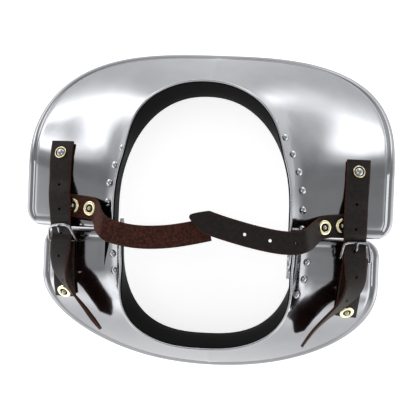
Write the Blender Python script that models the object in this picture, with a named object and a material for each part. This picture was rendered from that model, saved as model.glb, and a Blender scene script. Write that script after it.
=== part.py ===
"""Steel gorget: a collar and shoulder plate in two halves, closed with leather straps.

Plan of the model: +X is the wearer's left as seen from above with the back at +Y, and Z is up.
The piece stands on the lower edges of the back and front plates, which lie at Z = 0.
"""
import math

import bmesh
import bpy
import numpy as np
from mathutils import Matrix, Vector
from mathutils.bvhtree import BVHTree

# Sheet steel and the gaps between pieces, in metres
PLATE_SHEET = 0.0014
COLLAR_SHEET = 0.0012
FIT_GAP = 0.0008
SEAT_GAP = 0.0003
HALVES_GAP = 0.0008

# Back plate
BACK_SHIFT = 0.0
BACK_HALF_WIDTH = 0.1565
BACK_DEPTH = 0.138
BACK_POWER = 3.03
BACK_SIDE_LINE = 0.035
BACK_END_REACH = 0.019
BACK_SHOULDER_RISE = 0.057
BACK_NECK_HEIGHT = 0.092

# Front plate
FRONT_SHIFT = 0.0055
FRONT_PLATE_SHIFT = 0.0028
FRONT_SIDE_STEP = 0.0128
FRONT_HALF_WIDTH = BACK_HALF_WIDTH - FRONT_SIDE_STEP
FRONT_DEPTH = 0.138
FRONT_POWER = 2.11
FRONT_SIDE_LINE = 0.059
FRONT_SHOULDER_RISE = 0.054
FRONT_NECK_HEIGHT = 0.090

# Border bead and rounded corners of both plates
BEAD_WIDTH = 0.0068
BEAD_HEIGHT = 0.0012
CORNER_RADIUS = 0.015

# Throat, which is the narrowest line of the collar, and the flared rim above it
BACK_THROAT_HALF_WIDTH = 0.070
BACK_THROAT_DEPTH = 0.093
BACK_THROAT_POWER = 2.15
BACK_THROAT_SIDE_LINE = 0.0
BACK_RIM_FLARE_SIDE = 0.0005
BACK_RIM_FLARE_END = 0.0085
BACK_RIM_HEIGHT_SIDE = 0.112
BACK_RIM_HEIGHT_END = 0.121
FRONT_THROAT_HALF_WIDTH = 0.0705
FRONT_THROAT_DEPTH = 0.1015
FRONT_THROAT_POWER = 2.6
FRONT_THROAT_SIDE_LINE = 0.025
FRONT_RIM_FLARE_SIDE = -0.0022
FRONT_RIM_FLARE_END = 0.0085
FRONT_RIM_HEIGHT_SIDE = 0.111
FRONT_RIM_HEIGHT_END = 0.117
FLARE_POWER = 1.3
FLARE_FROM = 0.42
FULL_FLARE_FROM = 0.9
ROLL_WIDTH = 0.0025
ROLL_DROP = 0.0012
FLANGE_WIDTH = 0.0160
FLANGE_END_SHARE = 0.3
BACK_COLLAR_TONGUE = 0.034
FRONT_COLLAR_TONGUE = 0.010

# V-shaped slit beside the neck at the front plate's left end
SLIT_WIDTH = 0.0075
SLIT_LENGTH = 0.032
SLIT_OFFSET = 0.0150

# Rivets that join each collar to its plate
RIVET_RADIUS = 0.0034
RIVET_RISE = 0.0022
RIVET_INSET = 0.0108
RIVET_PATCH = 0.001
BACK_RIVET_COUNT = 21
FRONT_RIVET_COUNT = 20
RIVET_END_MARGIN = 0.006

# Leather straps, and the rivets and washers that hold them
LEATHER = 0.0024
STRAP_WIDTH = 0.021
NECK_WIDTH_SHARE = 0.905
POINT_LENGTH = 0.014
TIP_WIDTH_SHARE = 0.12
LAY_CLEAR = 0.0006
STEEPEST_LAY = 0.3
SLOPE_WEIGHTS = (0.06, 0.11, 0.2, 0.26, 0.2, 0.11, 0.06)
HOLE_RADIUS = 0.0013
HOLE_PITCH = 0.0210
WASHER_RADIUS = 0.0062
WASHER_HOLE_RADIUS = 0.0037
WASHER_RISE = 0.0013
STRAP_RIVET_RADIUS = 0.0027
STRAP_RIVET_RISE = 0.0024
SHOULDER_WASHER_RADIUS = 0.0052
SHOULDER_RIVET_RADIUS = 0.0038
SHOULDER_RIVET_HOLE_RADIUS = 0.0042

# Buckles: a wire frame whose bow lies over the shoulder strap and whose bar holds the buckle strap;
# the tongue's bend and depth in its hole are shares of the leather
BUCKLE_WIRE = 0.0011
BUCKLE_ROOM = 0.0034
BUCKLE_SHIFT = 0.001
FOLD_GAP = 0.0004
BUCKLE_LENGTH = 0.016
BUCKLE_POWER = 3.2
BAR_REACH = 0.034
TONGUE_WIRE = 0.0009
TONGUE_HOLE_RADIUS = 0.0019
TONGUE_HOLE = 3
TONGUE_HOLE_TO_BAR = 0.0075
TONGUE_PAST_BOW = 0.0012
TONGUE_OVER_BOW = 0.0009
TONGUE_BEND = 0.2
TONGUE_DEEP = 0.7
BOW_LEVEL_FROM = 0.8
SHOULDER_HOLES = 5

# The lower edge lies flat beyond this share of a plate's depth
FLAT_EDGE_FROM = 0.96

# Facets
HALF_COLUMNS = 15
BEAD_STEPS = 3
PLATE_ROWS = 7
ROW_POWER = 1.25
PROFILE_SAMPLES = 61
ROUND_SIDES = 10
RIVET_SIDES = 8
HOLE_SIDES = 8
FOLD_STEPS = 4
BOW_STEPS = 12
BUCKLE_STRAP_SECTIONS = 6
WIRE_SIDES = 6
UPRIGHT_WIRE = 0.2

# Centre lines of the straps on the left; the right ones mirror them about their own half's middle.
# Across is a share of the strap line, along a share of the back plate's depth towards the back or of
# the tail's reach towards the front, lift a share of the leather and lean a share of a quarter turn.
SHOULDER_INSET = 0.0305
SHOULDER_LINE = BACK_HALF_WIDTH - SHOULDER_INSET
TAIL_REACH = 0.138
TAIL_SHIFT = 0.0025
TIP_SHIFT = -0.0025
TIP_SHIFT_FROM = -0.35
TIP_SHIFT_OVER = 0.40
STRAP_SKEW = 0.026
SHIFT_FROM = 0.15
SHIFT_OVER = 0.45
SHOULDER_STRAP = (
    # across, along, lift, lean
    (1.000, 0.362, 0.25, 0.00),
    (1.000, 0.287, 0.25, 0.00),
    (0.998, 0.200, 0.30, 0.00),
    (0.995, 0.120, 0.60, 0.00),
    (0.992, 0.050, 2.20, 0.00),
    (0.988, -0.020, 2.60, 0.00),
    (0.984, -0.090, 2.65, 0.00),
    (0.980, -0.170, 3.20, 0.00),
    (0.984, -0.246, 4.40, 0.00),
    (0.990, -0.320, 4.40, 0.06),
    (0.982, -0.410, 3.30, 0.26),
    (0.930, -0.500, 2.20, 0.60),
    (0.855, -0.580, 1.80, 0.78),
    (0.785, -0.660, 1.10, 0.85),
    (0.735, -0.730, 0.90, 0.88),
    (0.690, -0.800, 0.90, 0.90),
)
SHOULDER_RIVET_SHARE = 0.287
BUCKLE_MIDDLE = 0.0005
BUCKLE_INSET = 0.0232
BUCKLE_LINE = FRONT_HALF_WIDTH - BUCKLE_INSET
BUCKLE_END_SHARE = -0.593
BUCKLE_RIVET_SHARE = -0.548
FOLD_RETURN = 0.009

# Neck straps: a tab riveted to the back plate, a rise over the rim, and a run across the opening.
# Across is a share of the throat's half width, and past 1 a share of the way from there to the shoulder
# strap's line; along is as for the shoulder straps; rise is a share of the way from the plate (0) to the
# height over the rim (1); slew is the turn in plan towards the back as a share of a quarter turn.
NECK_STRAP_OVER_RIM = 0.0010
NECK_HOLES = 3
NECK_HOLE_FROM_TIP = 0.047
NECK_TAB_ROWS = 3
NECK_STRAP_LEFT = (
    # across, along, rise, slew
    (-1.970, -0.022, 0.00, -0.05),
    (-1.749, -0.030, 0.00, -0.05),
    (-1.466, -0.040, 0.00, -0.06),
    (-1.356, -0.062, 0.24, -0.10),
    (-1.278, -0.098, 0.72, -0.12),
    (-1.180, -0.135, 1.02, -0.10),
    (-1.068, -0.160, 1.04, -0.08),
    (-0.852, -0.180, 1.05, -0.02),
    (-0.628, -0.184, 1.05, 0.03),
    (-0.359, -0.170, 1.04, 0.09),
    (-0.090, -0.140, 1.01, 0.13),
    (0.112, -0.112, 0.99, 0.13),
)
NECK_STRAP_RIGHT = (
    # across, along, rise, slew
    (1.965, -0.034, 0.00, -0.07),
    (1.788, -0.040, 0.00, -0.07),
    (1.519, -0.058, 0.00, -0.08),
    (1.429, -0.083, 0.30, -0.11),
    (1.359, -0.113, 0.82, -0.12),
    (1.272, -0.140, 1.07, -0.08),
    (1.124, -0.158, 1.07, -0.03),
    (0.897, -0.158, 1.10, 0.05),
    (0.606, -0.136, 1.13, 0.12),
    (0.269, -0.098, 1.13, 0.17),
    (0.045, -0.066, 1.12, 0.18),
    (-0.123, -0.042, 1.12, 0.18),
)
STRAP_STEPS = 2

# Steps up a collar: shares of its flange, wall and roll
FLANGE_STEPS = 3
WALL_STEPS = np.array((0.12, 0.38, 0.66, 0.9))
ROLL_OUT_STEPS = np.array((0.12, 0.55, 1.0))
ROLL_DROP_STEPS = np.array((0.15, 0.0, 1.0))

# A collar's tongue from its root to its tip
TONGUE_TAPER = (
    # share of its length, share of the wall cut away below
    (0.02, 0.02),
    (0.35, 0.10),
    (0.70, 0.35),
    (1.00, 0.78),
)

# Shape of a plate from the neck edge outwards: share of the way out, and share of the fall reached
PLATE_PROFILE = (
    # way out, fall at the shoulders, fall at the middle
    (0.00, 0.00, 0.00),
    (0.04, 0.10, 0.07),
    (0.09, 0.18, 0.13),
    (0.18, 0.27, 0.22),
    (0.32, 0.38, 0.34),
    (0.50, 0.52, 0.50),
    (0.68, 0.67, 0.67),
    (0.84, 0.83, 0.83),
    (1.00, 1.00, 1.00),
)


def clear_scene():
    for thing in list(bpy.data.objects):
        bpy.data.objects.remove(thing, do_unlink=True)


def make_material(name, colour, roughness, metallic):
    material = bpy.data.materials.new(name)
    material.use_nodes = True
    shader = material.node_tree.nodes["Principled BSDF"]
    shader.inputs["Base Color"].default_value = (*colour, 1.0)
    shader.inputs["Roughness"].default_value = roughness
    shader.inputs["Metallic"].default_value = metallic
    return material


def steel(name):
    return make_material(name, (0.62, 0.62, 0.63), 0.25, 1.0)


def brass(name):
    return make_material(name, (0.85, 0.74, 0.42), 0.3, 1.0)


def leather(name):
    return make_material(name, (0.045, 0.030, 0.030), 0.55, 0.0)


def add_object(name, vertices, faces, material, smooth_angle=40.0):
    """One closed mesh object with its faces turned outwards."""
    mesh = bpy.data.meshes.new(name)
    mesh.from_pydata([tuple(v) for v in vertices], [], faces)
    work = bmesh.new()
    work.from_mesh(mesh)
    bmesh.ops.remove_doubles(work, verts=work.verts, dist=1e-6)
    bmesh.ops.recalc_face_normals(work, faces=work.faces)
    work.to_mesh(mesh)
    work.free()
    mesh.shade_smooth()
    mesh.set_sharp_from_angle(angle=math.radians(smooth_angle))
    mesh.materials.append(material(name))
    thing = bpy.data.objects.new(name, mesh)
    bpy.context.scene.collection.objects.link(thing)
    return thing


def smooth_step(share):
    share = np.clip(share, 0.0, 1.0)
    return share * share * (3.0 - 2.0 * share)


class Outline:
    """Half of a superellipse in plan, beyond a side line, with a straight run to each end."""

    def __init__(self, half_width, depth, power, side_line, end_line, centre_x, side):
        angle = np.linspace(0.0, math.pi, 721)
        across = np.sign(np.cos(angle)) * np.abs(np.cos(angle)) ** (2.0 / power)
        along = np.abs(np.sin(angle)) ** (2.0 / power)
        x = np.concatenate(([half_width], half_width * across, [-half_width]))
        y = np.concatenate(([end_line], side_line + (depth - side_line) * along, [end_line]))
        self.x = x + centre_x
        self.y = y * side
        steps = np.hypot(np.diff(self.x), np.diff(self.y))
        self.walk = np.concatenate(([0.0], np.cumsum(steps)))
        self.length = self.walk[-1]

    def at(self, walk):
        return np.stack((np.interp(walk, self.walk, self.x), np.interp(walk, self.walk, self.y)), axis=-1)


class Half:
    """One half of the gorget: its plate as a surface of walk along the half and run down the plate."""

    def __init__(self, side, shift, end_line, plate, throat, rim):
        plate_shift, half_width, depth, power, plate_side_line, self.shoulder_rise, self.neck_height = plate
        throat_half_width, throat_depth, throat_power, side_line = throat
        self.flare_side, self.flare_end, self.rim_side, self.rim_end = rim
        self.side = side
        self.shift = shift
        self.depth = depth
        self.side_line = plate_side_line
        room = COLLAR_SHEET + PLATE_SHEET + FIT_GAP
        self.neck = Outline(throat_half_width + room, throat_depth + room, throat_power,
                            side_line, end_line, shift, side)
        self.outer = Outline(half_width, depth, power, plate_side_line, end_line, plate_shift, side)

    def walk_on(self, outline, near, share, left):
        """Place on an outline: near is metres from an end, share the rest of the way to the middle."""
        walk = near + share * (outline.length / 2.0 - near)
        return np.where(left, outline.length - walk, walk)

    def profile(self, near, share, left):
        """Dense run from the neck edge to the lower edge, for each column."""
        neck = self.neck.at(self.walk_on(self.neck, near, share, left))
        outer = self.outer.at(self.walk_on(self.outer, near, share, left))
        into_corner = np.clip(CORNER_RADIUS - near, 0.0, None) * (share == 0.0)
        inset = CORNER_RADIUS - np.sqrt(CORNER_RADIUS ** 2 - into_corner ** 2)
        reach = np.linalg.norm(outer - neck, axis=-1)
        outer = outer + (neck - outer) * (inset / reach)[:, None]
        beyond_side = outer[:, 1] * self.side - self.side_line
        lift = 1.0 - smooth_step(beyond_side / (FLAT_EDGE_FROM * self.depth - self.side_line))
        low = self.shoulder_rise * lift
        table = np.array(PLATE_PROFILE)
        out = np.linspace(0.0, 1.0, PROFILE_SAMPLES)
        side_fall = np.interp(out, table[:, 0], table[:, 1])
        middle_fall = np.interp(out, table[:, 0], table[:, 2])
        fall = lift[:, None] * side_fall + (1.0 - lift[:, None]) * middle_fall
        plan = neck[:, None, :] + (outer - neck)[:, None, :] * out[None, :, None]
        height = self.neck_height + (low[:, None] - self.neck_height) * fall
        return np.concatenate((plan, height[:, :, None]), axis=2)

    def run_down(self, near, share, left, runs):
        """Points at the given lengths from the neck edge; negative lengths count from the lower edge."""
        dense = self.profile(near, share, left)
        steps = np.linalg.norm(np.diff(dense, axis=1), axis=2)
        walk = np.concatenate((np.zeros((len(dense), 1)), np.cumsum(steps, axis=1)), axis=1)
        points = []
        for line, length, wanted in zip(dense, walk, runs(walk[:, -1])):
            points.append([[np.interp(w, length, line[:, axis]) for axis in range(3)] for w in wanted])
        return np.array(points)

    def columns(self):
        """Columns from the right end over the middle to the left end, close together in the bead."""
        bead = np.linspace(0.0, BEAD_WIDTH, BEAD_STEPS + 1)
        near = np.concatenate((bead, np.full(HALF_COLUMNS, BEAD_WIDTH)))
        share = np.concatenate((np.zeros(BEAD_STEPS + 1), np.arange(1, HALF_COLUMNS + 1) / HALF_COLUMNS))
        left = np.zeros(len(near), dtype=bool)
        near = np.concatenate((near, near[-2::-1]))
        share = np.concatenate((share, share[-2::-1]))
        left = np.concatenate((left, np.ones(len(left) - 1, dtype=bool)))
        return near, share, left

    def rows(self, length):
        """Lengths from the neck edge: even shares to the bead, then close steps across it."""
        body = np.linspace(0.0, 1.0, PLATE_ROWS + 1) ** ROW_POWER
        bead = np.linspace(BEAD_WIDTH, 0.0, BEAD_STEPS + 1)
        return [np.concatenate((body * (full - BEAD_WIDTH), full - bead[1:])) for full in length]

    def outward(self, grid):
        """Unit normals of a grid of points, turned up and away from the neck."""
        along = np.gradient(grid, axis=0)
        down = np.gradient(grid, axis=1)
        normal = np.cross(down, along) * self.side
        return normal / np.linalg.norm(normal, axis=2, keepdims=True)


def shell_faces(columns, rows, rising):
    """Triangles of a closed wall; a rising wall counts its rows inwards, so its diagonals turn over."""
    count = columns * rows

    def outer(i, j):
        return i * rows + j

    def inner(i, j):
        return count + i * rows + j

    quads = []
    for i in range(columns - 1):
        for j in range(rows - 1):
            quads.append((outer(i, j), outer(i + 1, j), outer(i + 1, j + 1), outer(i, j + 1)))
            quads.append((inner(i, j), inner(i, j + 1), inner(i + 1, j + 1), inner(i + 1, j)))
        quads.append((outer(i, 0), inner(i, 0), inner(i + 1, 0), outer(i + 1, 0)))
        last = rows - 1
        quads.append((outer(i, last), outer(i + 1, last), inner(i + 1, last), inner(i, last)))
    for j in range(rows - 1):
        quads.append((outer(0, j), outer(0, j + 1), inner(0, j + 1), inner(0, j)))
        end = columns - 1
        quads.append((outer(end, j), inner(end, j), inner(end, j + 1), outer(end, j + 1)))
    if rising:
        return [face for a, b, c, d in quads for face in ((a, b, d), (b, c, d))]
    return [face for a, b, c, d in quads for face in ((a, b, c), (a, c, d))]


def build_plate(name, half):
    near, share, left = half.columns()
    grid = half.run_down(near, share, left, half.rows)
    normal = half.outward(grid)
    from_edge = np.full(grid.shape[1], BEAD_WIDTH)
    from_edge[-BEAD_STEPS:] = np.linspace(BEAD_WIDTH, 0.0, BEAD_STEPS + 1)[1:]
    border = np.minimum(near[:, None] + share[:, None], from_edge[None, :])
    border = np.minimum(border, BEAD_WIDTH)
    bump = BEAD_HEIGHT * np.sin(np.pi * border / BEAD_WIDTH)
    outer = grid + normal * bump[:, :, None]
    inner = outer - normal * PLATE_SHEET
    outer[:, :, 2] = np.maximum(outer[:, :, 2], 0.0)
    inner[:, :, 2] = np.maximum(inner[:, :, 2], 0.0)
    vertices = np.concatenate((outer.reshape(-1, 3), inner.reshape(-1, 3)))
    return add_object(name, vertices, shell_faces(*grid.shape[:2], rising=False), steel)


def cut_slit(plate, half):
    """Slit from the plate's left end, between its neck flange and its shoulder, down to a point."""
    end_x, end_y = half.neck.x[-1], half.neck.y[-1]
    past_end = end_y - half.side * SLIT_WIDTH
    corners = ((end_x - SLIT_OFFSET, past_end), (end_x - SLIT_OFFSET + SLIT_WIDTH, past_end),
               (end_x - SLIT_OFFSET, end_y + half.side * SLIT_LENGTH))
    levels = (half.neck_height - half.shoulder_rise, half.neck_height + SLIT_OFFSET)
    vertices = [(x, y, z) for z in levels for x, y in corners]
    faces = [(0, 1, 2), (3, 4, 5), (0, 1, 4, 3), (1, 2, 5, 4), (2, 0, 3, 5)]
    cutter = add_object(plate.name + "_slit", vertices, faces, steel)
    cutter.hide_render = True
    cutter.display_type = "WIRE"
    cut = plate.modifiers.new("slit", "BOOLEAN")
    cut.operation = "DIFFERENCE"
    cut.object = cutter


def resampled(line, start, count):
    """The stretch of a polyline from a share of its length to its end, as evenly spaced points."""
    walk = np.concatenate(([0.0], np.cumsum(np.linalg.norm(np.diff(line, axis=0), axis=1))))
    wanted = np.linspace(start * walk[-1], walk[-1], count)
    return np.stack([np.interp(wanted, walk, line[:, axis]) for axis in range(3)], axis=1)


def collar_tongue(column, facing, length, side):
    """Columns that carry the wall and rim past the collar's end, narrowing to a tip at the rim."""
    wall = column[FLANGE_STEPS:]
    lean = facing[FLANGE_STEPS + 1]
    tongue = []
    for reach, cut in TONGUE_TAPER:
        line = resampled(wall, cut, len(column))
        line[:, 1] -= side * reach * length
        tongue.append(line)
    return np.array(tongue), np.tile(lean, (len(tongue), len(column), 1))


def build_collar(name, half, right_tongue, left_tongue):
    """Neck flange under the plate, wall at the throat, flare and rolled rim, in one sheet."""
    near, share, left = half.columns()
    flange_runs = FLANGE_WIDTH * np.linspace(1.0, 0.0, FLANGE_STEPS + 1)
    widths = FLANGE_END_SHARE + (1.0 - FLANGE_END_SHARE) * near / BEAD_WIDTH
    flange = half.run_down(near, share, left, lambda length: [flange_runs * width for width in widths])
    normal = half.outward(flange[:, ::-1])[:, ::-1]
    flange = flange - normal * (PLATE_SHEET + FIT_GAP)
    neck = half.neck.at(half.walk_on(half.neck, near, share, left))
    tangent = np.gradient(neck, axis=0)
    out = np.stack((tangent[:, 1], -tangent[:, 0]), axis=1) * half.side
    out = out / np.linalg.norm(out, axis=1, keepdims=True)
    forward = np.clip(neck[:, 1] * half.side, 0.0, None)
    share_out = forward / np.max(forward)
    at_side = 1.0 - smooth_step((share_out - FLARE_FROM) / (FULL_FLARE_FROM - FLARE_FROM))
    flare = half.flare_end + (half.flare_side - half.flare_end) * at_side
    top = half.rim_end + (half.rim_side - half.rim_end) * at_side
    wall_out = -PLATE_SHEET - SEAT_GAP + flare[:, None] * WALL_STEPS[None, :] ** FLARE_POWER
    wall_up = half.neck_height + (top - half.neck_height)[:, None] * WALL_STEPS[None, :]
    roll_out = -PLATE_SHEET - SEAT_GAP + flare[:, None] + ROLL_WIDTH * ROLL_OUT_STEPS[None, :]
    roll_up = top[:, None] - ROLL_DROP * ROLL_DROP_STEPS[None, :]
    rise_out = np.concatenate((wall_out, roll_out), axis=1)
    rise_up = np.concatenate((wall_up, roll_up), axis=1)
    plan = neck[:, None, :] + out[:, None, :] * rise_out[:, :, None]
    outer = np.concatenate((flange, np.concatenate((plan, rise_up[:, :, None]), axis=2)), axis=1)
    up = np.gradient(outer, axis=1)
    along = np.gradient(outer, axis=0)
    facing = np.cross(along, up) * half.side
    facing = facing / np.linalg.norm(facing, axis=2, keepdims=True)
    if right_tongue:
        tongue, lean = collar_tongue(outer[0], facing[0], right_tongue, half.side)
        outer = np.concatenate((tongue[::-1], outer))
        facing = np.concatenate((lean, facing))
    if left_tongue:
        tongue, lean = collar_tongue(outer[-1], facing[-1], left_tongue, half.side)
        outer = np.concatenate((outer, tongue))
        facing = np.concatenate((facing, lean))
    inner = outer - facing * COLLAR_SHEET
    vertices = np.concatenate((outer.reshape(-1, 3), inner.reshape(-1, 3)))
    return add_object(name, vertices, shell_faces(*outer.shape[:2], rising=True), steel)


def top_view_tree(things):
    """Search tree of the steel, for laying pieces on it."""
    vertices = []
    faces = []
    for thing in things:
        start = len(vertices)
        vertices.extend(v.co.copy() for v in thing.data.vertices)
        faces.extend([start + k for k in face.vertices] for face in thing.data.polygons)
    return BVHTree.FromPolygons(vertices, faces)


def height_at(tree, x, y):
    """Height of the steel below a point in plan, bridging the gap between the halves, or None beside it."""
    hits = []
    for step in (-2.0 * HALVES_GAP, 0.0, 2.0 * HALVES_GAP):
        hit = tree.ray_cast(Vector((x, y + step, 1.0)), Vector((0.0, 0.0, -1.0)))[0]
        if hit is not None:
            hits.append(hit.z)
    return max(hits) if hits else None


def dome_mesh(radius, rise, sides):
    """Flat-based dome about the origin, as a list of rings closed by a point."""
    vertices = []
    for share, level in ((1.0, 0.0), (0.88, 0.5), (0.5, 0.9)):
        for k in range(sides):
            turn = 2.0 * math.pi * k / sides
            vertices.append((radius * share * math.cos(turn), radius * share * math.sin(turn), rise * level))
    vertices.append((0.0, 0.0, rise))
    faces = [tuple(range(sides))]
    for ring in range(2):
        for k in range(sides):
            a = ring * sides + k
            b = ring * sides + (k + 1) % sides
            faces.append((a, b, b + sides, a + sides))
    for k in range(sides):
        faces.append((2 * sides + k, 2 * sides + (k + 1) % sides, 3 * sides))
    return vertices, faces


def washer_mesh(radius, hole, rise, sides):
    """Round washer with a hole and a crown halfway across."""
    rings = ((radius, 0.0), (radius, rise * 0.35), ((radius + hole) / 2.0, rise), (hole, rise * 0.5), (hole, 0.0))
    vertices = []
    for r, z in rings:
        for k in range(sides):
            turn = 2.0 * math.pi * k / sides
            vertices.append((r * math.cos(turn), r * math.sin(turn), z))
    faces = []
    for ring in range(len(rings)):
        following = (ring + 1) % len(rings)
        for k in range(sides):
            n = (k + 1) % sides
            faces.append((ring * sides + k, ring * sides + n, following * sides + n, following * sides + k))
    return vertices, faces


def standing_on(normal):
    """Rotation that turns +Z to a normal."""
    return Vector((0.0, 0.0, 1.0)).rotation_difference(Vector(normal)).to_matrix().to_4x4()


def place_disc(name, mesh, point, normal, radius, tree, material):
    """Seat a flat-based piece so that its whole foot clears the facets below by the seat gap."""
    turn = standing_on(normal)
    normal = Vector(normal)
    start = Vector(point) + normal * radius
    deepest = 0.0
    for k in range(3 * ROUND_SIDES):
        angle = 2.0 * math.pi * k / ROUND_SIDES
        reach = radius * (k // ROUND_SIDES) / 2.0
        probe = start + turn @ Vector((reach * math.cos(angle), reach * math.sin(angle), 0.0))
        distance = tree.ray_cast(probe, -normal)[3]
        if distance is not None:
            deepest = max(deepest, radius - distance)
    base = Vector(point) + normal * (deepest + SEAT_GAP)
    matrix = Matrix.Translation(base) @ turn
    vertices = [matrix @ Vector(v) for v in mesh[0]]
    return add_object(name, vertices, mesh[1], material, smooth_angle=60.0)


def rivet_row(name, half, tree, count, kept):
    """Rivets at an even pitch beside the neck; kept gives those built as pieces of their own."""
    run = half.neck.length - 2.0 * RIVET_END_MARGIN
    walks = RIVET_END_MARGIN + run * np.arange(count) / (count - 1)
    half_length = half.neck.length / 2.0
    left = walks > half_length
    from_end = np.where(left, half.neck.length - walks, walks)
    near = np.minimum(from_end, BEAD_WIDTH)
    share = (from_end - near) / (half_length - near)
    inset = RIVET_INSET + RIVET_PATCH * np.array((-1.0, 0.0, 1.0))
    for k in range(count):
        if k not in kept:
            continue
        around = np.clip(share[k] + RIVET_PATCH / half_length * np.array((-1.0, 0.0, 1.0)), 0.0, 1.0)
        patch = half.run_down(np.full(3, near[k]), around, np.full(3, left[k]), lambda length: [inset] * 3)
        down = patch[1, 2] - patch[1, 0]
        along = (patch[2, 1] - patch[0, 1]) * (-1.0 if left[k] else 1.0)
        normal = np.cross(down, along) * half.side
        normal = normal / np.linalg.norm(normal)
        dome = dome_mesh(RIVET_RADIUS, RIVET_RISE, RIVET_SIDES)
        place_disc("%s_rivet_%02d" % (name, k + 1), dome, patch[1, 1], normal, RIVET_RADIUS, tree, steel)


def eased(rows, steps):
    """Smooth line through the rows of a table, with a number of steps between neighbours."""
    rows = np.array(rows, dtype=float)
    ends = np.vstack((2.0 * rows[0] - rows[1], rows, 2.0 * rows[-1] - rows[-2]))
    line = []
    for k in range(1, len(ends) - 2):
        before, start, end, after = ends[k - 1:k + 3]
        for step in range(steps):
            t = step / steps
            bend = (2.0 * start, (end - before) * t, (2.0 * before - 5.0 * start + 4.0 * end - after) * t * t,
                    (3.0 * start - before - 3.0 * end + after) * t ** 3)
            line.append(0.5 * sum(bend))
    line.append(ends[-2])
    return np.array(line)


def laid_line(tree, plan, lift, lean, upright):
    """Centre points and across directions of a strap laid over the steel.

    Each section lies on the steel's slope, eased along the strap, or by its lean is turned some of the
    way to upright, and is raised until both edges and its middle are clear of the steel by the lift.
    Where an edge hangs past the plate, the slope is taken from the middle to the other edge.
    """
    centres = []
    across = []
    run = np.gradient(plan, axis=0)
    run = run / np.linalg.norm(run, axis=1, keepdims=True)
    half = STRAP_WIDTH / 2.0
    aside = np.stack((run[:, 1], -run[:, 0]), axis=1)
    slopes = []
    for point, sideways in zip(plan, aside):
        found = [(reach, height_at(tree, *(point + sideways * reach))) for reach in (-half, 0.0, half)]
        found = [pair for pair in found if pair[1] is not None]
        slopes.append(math.atan2(found[-1][1] - found[0][1], found[-1][0] - found[0][0]))
    padded = np.pad(slopes, len(SLOPE_WEIGHTS) // 2, mode="edge")
    eased_slopes = np.convolve(padded, SLOPE_WEIGHTS, mode="valid")
    for point, sideways, rise, tip, slope in zip(plan, aside, lift, lean, eased_slopes):
        turn = slope + (upright - slope) * tip
        reach_plan = math.cos(turn)
        reach_up = math.sin(turn)
        need = []
        for reach in (-half, -half / 2.0, 0.0, half / 2.0, half):
            below = height_at(tree, *(point + sideways * reach * reach_plan))
            if below is not None:
                need.append(below - reach * reach_up)
        centres.append((point[0], point[1], max(need) + rise + LEATHER / 2.0 / max(STEEPEST_LAY, reach_plan)))
        across.append((sideways[0] * reach_plan, sideways[1] * reach_plan, reach_up))
    return np.array(centres), np.array(across)


def ribbon(name, centres, across, width_shares, material):
    """Strip of leather of even thickness along a line of centres."""
    run = np.gradient(centres, axis=0)
    run = run / np.linalg.norm(run, axis=1, keepdims=True)
    face = np.cross(across, run)
    face = face / np.linalg.norm(face, axis=1, keepdims=True)
    reach = across * (STRAP_WIDTH / 2.0) * np.array(width_shares)[:, None]
    rise = face * LEATHER / 2.0
    rings = np.stack((centres - reach - rise, centres + reach - rise, centres + reach + rise,
                      centres - reach + rise), axis=1)
    count = len(centres)
    faces = [(0, 1, 2, 3), (4 * count - 4, 4 * count - 1, 4 * count - 2, 4 * count - 3)]
    for i in range(count - 1):
        for k in range(4):
            n = (k + 1) % 4
            faces.append((4 * i + k, 4 * i + n, 4 * i + 4 + n))
            faces.append((4 * i + k, 4 * i + 4 + n, 4 * i + 4 + k))
    strap = add_object(name, rings.reshape(-1, 3), faces, material, smooth_angle=50.0)
    return strap, face


def pointed_end(centres, point_length):
    """Width share of each section of a strap whose last stretch narrows to a blunt point."""
    steps = np.linalg.norm(np.diff(centres, axis=0), axis=1)
    to_end = np.concatenate((np.cumsum(steps[::-1])[::-1], [0.0]))
    return np.clip(TIP_WIDTH_SHARE + (1.0 - TIP_WIDTH_SHARE) * to_end / point_length, TIP_WIDTH_SHARE, 1.0)


def frame_wire(name, points, radius, sides, closed, material):
    """Round wire along a line of points, in section a regular polygon."""
    count = len(points)
    vertices = []
    for i in range(count):
        before = points[(i - 1) % count] if closed or i else points[0]
        after = points[(i + 1) % count] if closed or i < count - 1 else points[-1]
        heading = (after - before).normalized()
        level = Vector((0.0, 0.0, 1.0)).cross(heading)
        if level.length < UPRIGHT_WIRE:
            level = Vector((1.0, 0.0, 0.0)).cross(heading)
        level.normalize()
        up = heading.cross(level)
        for k in range(sides):
            turn = 2.0 * math.pi * k / sides
            vertices.append(points[i] + radius * (math.cos(turn) * level + math.sin(turn) * up))
    faces = []
    for i in range(count if closed else count - 1):
        for k in range(sides):
            n = (k + 1) % sides
            j = (i + 1) % count
            faces.append((i * sides + k, i * sides + n, j * sides + n, j * sides + k))
    if not closed:
        faces.append(tuple(range(sides)))
        faces.append(tuple(range((count - 1) * sides, count * sides)))
    return add_object(name, vertices, faces, material, smooth_angle=60.0)


def rivet_with_washer(tag, strap, point, normal, washer_radius, hole_radius, rivet_radius):
    """Brass washer on the leather and the steel rivet head in its hole."""
    tree = top_view_tree((strap,))
    washer = washer_mesh(washer_radius, hole_radius, WASHER_RISE, ROUND_SIDES)
    place_disc("washer_" + tag, washer, point, normal, washer_radius, tree, brass)
    head = dome_mesh(rivet_radius, STRAP_RIVET_RISE, RIVET_SIDES)
    place_disc("strap_rivet_" + tag, head, point, normal, rivet_radius, tree, steel)


def along_line(line, walk, values):
    """Values of a line's points, taken at a length walked along it."""
    steps = np.linalg.norm(np.diff(line, axis=0), axis=1)
    lengths = np.concatenate(([0.0], np.cumsum(steps)))
    return np.array([np.interp(walk, lengths, values[:, axis]) for axis in range(3)])


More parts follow.
